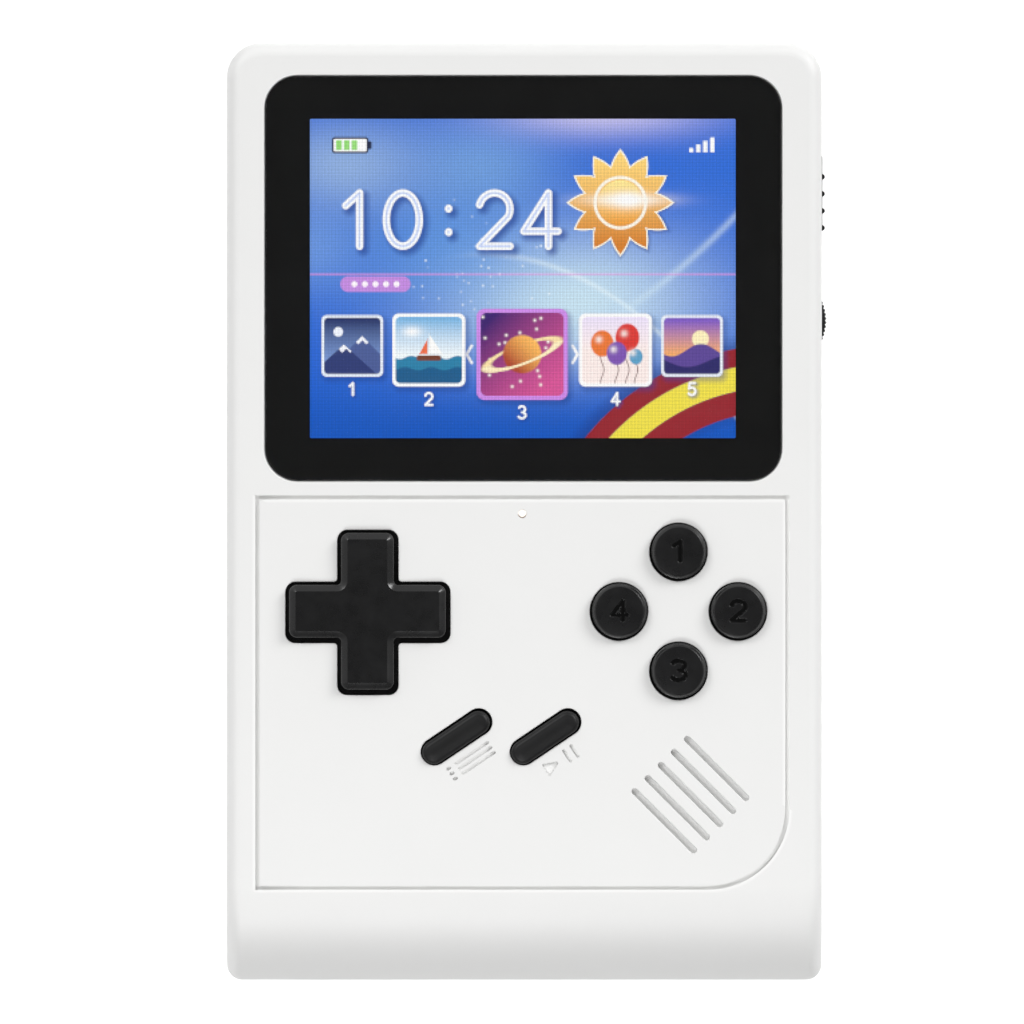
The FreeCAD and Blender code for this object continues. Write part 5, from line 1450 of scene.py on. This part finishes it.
# Whole picture, in millimetres from its lower left corner, as linear colours.
def drawPicture(u, v):
    canvas = drawRibbons(drawField(u, v), u, v)
    line = inside(np.abs(v - thinLine["y"]) - thinLine["half"])
    canvas = over(canvas, (thinLine["colour"], thinLine["strength"] * line))
    canvas = drawSun(canvas, u, v)
    canvas = over(canvas, *wordLayers(u, v, clock["word"], *clock["place"], clock))
    canvas = over(canvas, *((tint, inside(boxDistance(u, v, *box))) for tint, box in signs))
    canvas = drawArrows(canvas, u, v)
    for number, tile in enumerate(tiles, 1):
        canvas = drawTile(canvas, u, v, str(number), *tile)
    return canvas


# The picture is carried by a flat grid of one face for each dot, coloured by an attribute. A weak wave each
# way stands for the cells of the display.
def litPicture():
    columns, rows = picture["columns"], picture["rows"]
    width, height = picture["width"], picture["height"]
    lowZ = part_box("lcd_module")[1].z + picture["lift"]
    x = np.linspace(-width / 2, width / 2, columns + 1) + picture["centre"][0]
    y = np.linspace(-height / 2, height / 2, rows + 1) + picture["centre"][1]
    gridX, gridY = np.meshgrid(x, y)
    points = np.column_stack([gridX.ravel(), gridY.ravel(), np.full(gridX.size, lowZ)])
    corner = (np.arange(rows)[:, None] * (columns + 1) + np.arange(columns)).ravel()
    faces = np.stack([corner, corner + 1, corner + columns + 2, corner + columns + 1], -1).tolist()
    u, v = np.meshgrid((np.arange(columns) + 0.5) * width / columns / mm,
                       (np.arange(rows) + 0.5) * height / rows / mm)
    canvas = np.clip(drawPicture(u, v), 0, 1)
    turn = 2 * np.pi / picture["ripplePitch"]
    ripple = 1 - picture["rippleDepth"] * (np.cos(turn * u) + np.cos(turn * v) + picture["rippleLevel"])
    grain = np.random.default_rng(picture["grainSeed"]).normal(1, picture["grain"], u.shape)
    canvas = np.clip(canvas * (ripple * grain)[..., None], 0, 1)
    piece = makePiece("litPicture", points, faces, litDisplay())
    colours = np.concatenate([canvas.reshape(-1, 3), np.ones((rows * columns, 1))], 1)
    addAttribute(piece, "dotColour", "FLOAT_COLOR", "FACE", colours)
    return fitPiece(piece, "root", "display")


def litDisplay():
    sockets = {"Roughness": picture["roughness"], "Emission_Strength": picture["brightness"]}
    material, tree, target = newMaterial("litDisplay", **sockets)
    target["Base Color"].default_value = picture["unlit"]
    colour = addNode(tree, "ShaderNodeAttribute", attribute_name="dotColour").outputs["Color"]
    link(colour, target["Emission Color"])
    return material


litPicture()
print("lit picture made")


# Thumbwheel

wheelShape = {
    "knurlPitch": 0.6 * mm, "knurlDepth": 0.28 * mm, "rimRound": 0.3 * mm, "bore": 1.4 * mm,
    "pocketRadius": 2.2 * mm, "pocketDepth": 0.7 * mm, "webRadius": 5.4 * mm, "webDepth": 0.25 * mm,
    "perBump": 8, "rimRings": 6, "sharpAngle": 40,
}


# Closed ring: rim radius is R - depth * |sin(n * angle / 2)|, which leaves round bumps, and the
# profile goes out over the lower face, up the rim, in over the upper face and down the bore.
def thumbWheel():
    shape = wheelShape
    low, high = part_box("volume_wheel")
    radius = (high.x - low.x) / 2
    bumps = round(2 * math.pi * radius / shape["knurlPitch"])
    columns = bumps * shape["perBump"]
    bump = (shape["knurlDepth"] * (np.abs(np.sin(bumps * turnsOf(columns) / 2)) - 1))[:, None]
    soft, pocket, web, bore = [shape[label] for label in ("rimRound", "pocketRadius", "webRadius", "bore")]
    lower = []
    upper = []
    for share, (cosine, sine) in zip(np.linspace(0, 1, shape["rimRings"]), quarterTurn(shape["rimRings"])):
        size = radius - soft * (1 - sine) + bump * share
        lower.append((size, low.z + soft * (1 - cosine)))
        upper.append((size, high.z - soft * (1 - cosine)))
    pocketTop = low.z + shape["pocketDepth"]
    webTop = high.z - shape["webDepth"]
    profile = [(pocket, pocketTop), (pocket, low.z), (web, low.z), *lower, *reversed(upper), (web, high.z),
               (web - soft, webTop), (pocket + soft, webTop), (pocket, high.z), (bore, high.z),
               (bore, pocketTop)]
    rings = ringsOf(unitCircle(columns), middleOf("volume_wheel")[:2], profile)
    piece = makePiece("thumbWheel", *ringLoop(np.stack(rings)), sidePlastic, shape["sharpAngle"])
    return fitPiece(piece, "wheel", "black_side_controls", "volume_wheel")


thumbWheel()
print("thumbwheel made")


# Screws

caseScrew = {
    "headRadius": 1.9 * mm, "headHeight": 1.5 * mm, "shankRadius": 1.0 * mm, "length": 10.5 * mm,
    "pitch": 0.8 * mm, "threadDepth": 0.2 * mm, "tip": 1.2 * mm, "crossReach": 1.15 * mm,
    "crossWidth": 0.42 * mm, "crossDepth": 0.9 * mm,
}
boardScrew = {
    "headRadius": 1.5 * mm, "headHeight": 1.0 * mm, "shankRadius": 0.75 * mm, "length": 4.7 * mm,
    "pitch": 0.6 * mm, "threadDepth": 0.15 * mm, "tip": 0.8 * mm, "crossReach": 0.9 * mm,
    "crossWidth": 0.34 * mm, "crossDepth": 0.6 * mm,
}
screwForm = {
    "columns": 48, "headRound": 0.3 * mm, "headRings": 6, "middleRadius": 0.04 * mm, "faceRings": 30,
    "recessWall": 0.12 * mm, "recessEnd": 0.3 * mm, "threadFrom": 0.05 * mm, "ringsPerPitch": 8,
    "tipShare": 0.12, "facePlay": 0.01 * mm, "headPlay": 0.1 * mm, "sharpAngle": 40,
}


# Pan-head screw seen from its head: the head's face has a cross recess, as deep as the point's place inside
# both arms allows, and the shank's radius follows a saw wave of (height / pitch - turn).
def screwRings(shape, centre, headLow):
    form = screwForm
    circle = unitCircle(form["columns"])
    turn = turnsOf(form["columns"]) / (2 * np.pi)
    soft, head, length, pitch = form["headRound"], shape["headRadius"], shape["length"], shape["pitch"]
    rings = []
    for radius in np.linspace(form["middleRadius"], head - soft, form["faceRings"]):
        flat = np.abs(circle * radius)
        across = smoothStep(0, form["recessWall"], shape["crossWidth"] / 2 - flat.min(1))
        along = smoothStep(0, form["recessEnd"], shape["crossReach"] - flat.max(1))
        rings.append(ringAt(circle * radius, centre, headLow + shape["crossDepth"] * across * along))
    profile = []
    for cosine, sine in quarterTurn(form["headRings"]):
        profile.append((head - soft * (1 - sine), headLow + soft * (1 - cosine)))
    seat = headLow + shape["headHeight"]
    root = shape["shankRadius"] - shape["threadDepth"]
    profile += [(head, seat), (root, seat)]
    for rise in np.linspace(form["threadFrom"], length, int(length / pitch * form["ringsPerPitch"])):
        ridge = shape["threadDepth"] * (1 - np.abs(2 * ((rise / pitch - turn) % 1) - 1))
        narrowing = min(1.0, (length - rise) / shape["tip"] + form["tipShare"])
        profile.append((((root + ridge) * narrowing)[:, None], seat + rise))
    return np.stack(rings + ringsOf(circle, centre, profile))


# One screw at the middle of each head that the CAD node has.
def screwSet(name, nodeName, shape):
    mesh = nodes[nodeName].data
    points = np.zeros(len(mesh.vertices) * 3)
    mesh.vertices.foreach_get("co", points)
    points = points.reshape(-1, 3)
    headLow = points[:, 2].min()
    heads = points[points[:, 2] < headLow + screwForm["facePlay"], :2]
    solids = []
    while len(heads):
        near = np.hypot(*(heads - heads[0]).T) < 2 * shape["headRadius"] + screwForm["headPlay"]
        centre = (heads[near].min(0) + heads[near].max(0)) / 2
        solids.append(ringSolid(screwRings(shape, centre, headLow)))
        heads = heads[~near]
    piece = makePiece(name, *gather(solids), blackZinc, screwForm["sharpAngle"])
    return fitPiece(piece, "root", "dark_screws", nodeName)


screwSet("caseScrewSet", "case_screws", caseScrew)
screwSet("boardScrewSet", "board_screws", boardScrew)
print("screws made")


# Floor, backdrop and light

studio = {
    "floorHalf": 4.0, "floorDrop": 0.05 * mm, "cutInset": 1.9 * mm, "floorLift": 0.6, "floorShade": 0.85,
    "floorRoughness": 0.9, "zenith": 0.07, "sky": 0.33, "leanX": -0.08, "leanY": 0.24, "brightBelow": 0.89,
    "dimAbove": 0.985,
}
camera = {
    "lens": 1200.0, "sensor": 36.0, "frameWidth": 145.85 * mm, "middle": (-1.745 * mm, -0.07 * mm),
    "clipStart": 0.1, "clipEnd": 50.0,
}
lamps = {
    "key": {"place": (0.87, 0.61, 0.66), "size": 0.5, "power": 7.0},
    "side": {"place": (-0.62, 0.66, 0.86), "size": 0.5, "power": 4.1},
    "fill": {"place": (-0.05, -0.28, 0.36), "size": 0.15, "power": 0.62},
}


# The floor is open under the part, so that its underside gets light when it is looked at from below.
def makeFloor():
    low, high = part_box("rear_shell")
    inset = studio["cutInset"]
    half = studio["floorHalf"]
    outer = boxCorners(-half, -half, half, half)
    inner = boxCorners(low.x + inset, low.y + inset, high.x - inset, high.y - inset)
    points = ringAt(outer + inner, (0, 0), low.z - studio["floorDrop"])
    floor = makePiece("floor", points, bandFaces(2, len(outer)), floorPaint())


# Pale floor: lit paint with its shadows, lifted towards white for the eye and for reflections,
# and clear from below.
def floorPaint():
    material, tree, target = newMaterial("floorPaint", Roughness=studio["floorRoughness"])
    target["Base Color"].default_value = (*[studio["floorShade"]] * 3, 1)
    path = addNode(tree, "ShaderNodeLightPath").outputs
    seen = calc("MAXIMUM", path["Is Camera Ray"], path["Is Glossy Ray"])
    seen = calc("MAXIMUM", seen, path["Is Transmission Ray"])
    paintShader = tree.nodes["Principled BSDF"].outputs[0]
    lift = addNode(tree, "ShaderNodeEmission", {"Strength": times(seen, studio["floorLift"])}).outputs[0]
    lit = addNode(tree, "ShaderNodeAddShader", {0: paintShader, 1: lift}).outputs[0]
    behind = addNode(tree, "ShaderNodeNewGeometry").outputs["Backfacing"]
    clear = addNode(tree, "ShaderNodeBsdfTransparent").outputs[0]
    both = addNode(tree, "ShaderNodeMixShader", {0: behind, 1: lit, 2: clear}).outputs[0]
    link(both, tree.nodes["Material Output"].inputs["Surface"])
    return material


# Sky: dim overhead, so that glossy black stays black, and bright all round it, brighter towards the top
# edge of the part; white to the eye.
def makeWorld():
    world = bpy.data.worlds.new("studioWorld")
    bpy.context.scene.world = world
    world.use_nodes = True
    tree = world.node_tree
    direction = addNode(tree, "ShaderNodeTexCoord").outputs["Generated"]
    axes = addNode(tree, "ShaderNodeSeparateXYZ", {"Vector": direction}).outputs
    spread = {"Value": axes["Z"], "From Min": studio["brightBelow"], "From Max": studio["dimAbove"],
              "To Min": 1.0, "To Max": 0.0}
    share = addNode(tree, "ShaderNodeMapRange", spread, interpolation_type="SMOOTHSTEP").outputs[0]
    lean = plus(times(axes["X"], studio["leanX"]), times(axes["Y"], studio["leanY"]))
    level = plus(times(plus(lean, studio["sky"]), share), studio["zenith"])
    eye = addNode(tree, "ShaderNodeLightPath").outputs["Is Camera Ray"]
    background = tree.nodes["Background"].inputs
    background["Color"].default_value = (1, 1, 1, 1)
    link(plus(times(level, minus(1.0, eye)), eye), background["Strength"])


def makeLamps():
    for name, lamp in lamps.items():
        light = bpy.data.lights.new(name, "AREA")
        light.shape = "DISK"
        light.size = lamp["size"]
        light.energy = lamp["power"]
        holder = bpy.data.objects.new(name, light)
        bpy.context.scene.collection.objects.link(holder)
        holder.location = lamp["place"]
        direction = -holder.location
        holder.rotation_euler = direction.to_track_quat("-Z", "Y").to_euler()
        holder.visible_camera = False


def makeCamera():
    data = bpy.data.cameras.new("camera")
    data.lens = camera["lens"]
    data.sensor_width = camera["sensor"]
    data.clip_start = camera["clipStart"]
    data.clip_end = camera["clipEnd"]
    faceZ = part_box("front_shell")[1].z
    away = camera["frameWidth"] * camera["lens"] / camera["sensor"]
    holder = bpy.data.objects.new("camera", data)
    bpy.context.scene.collection.objects.link(holder)
    holder.location = (*camera["middle"], faceZ + away)
    bpy.context.scene.camera = holder


makeFloor()
makeWorld()
makeLamps()
makeCamera()
bpy.context.scene.view_settings.view_transform = "Standard"
print("studio set up")
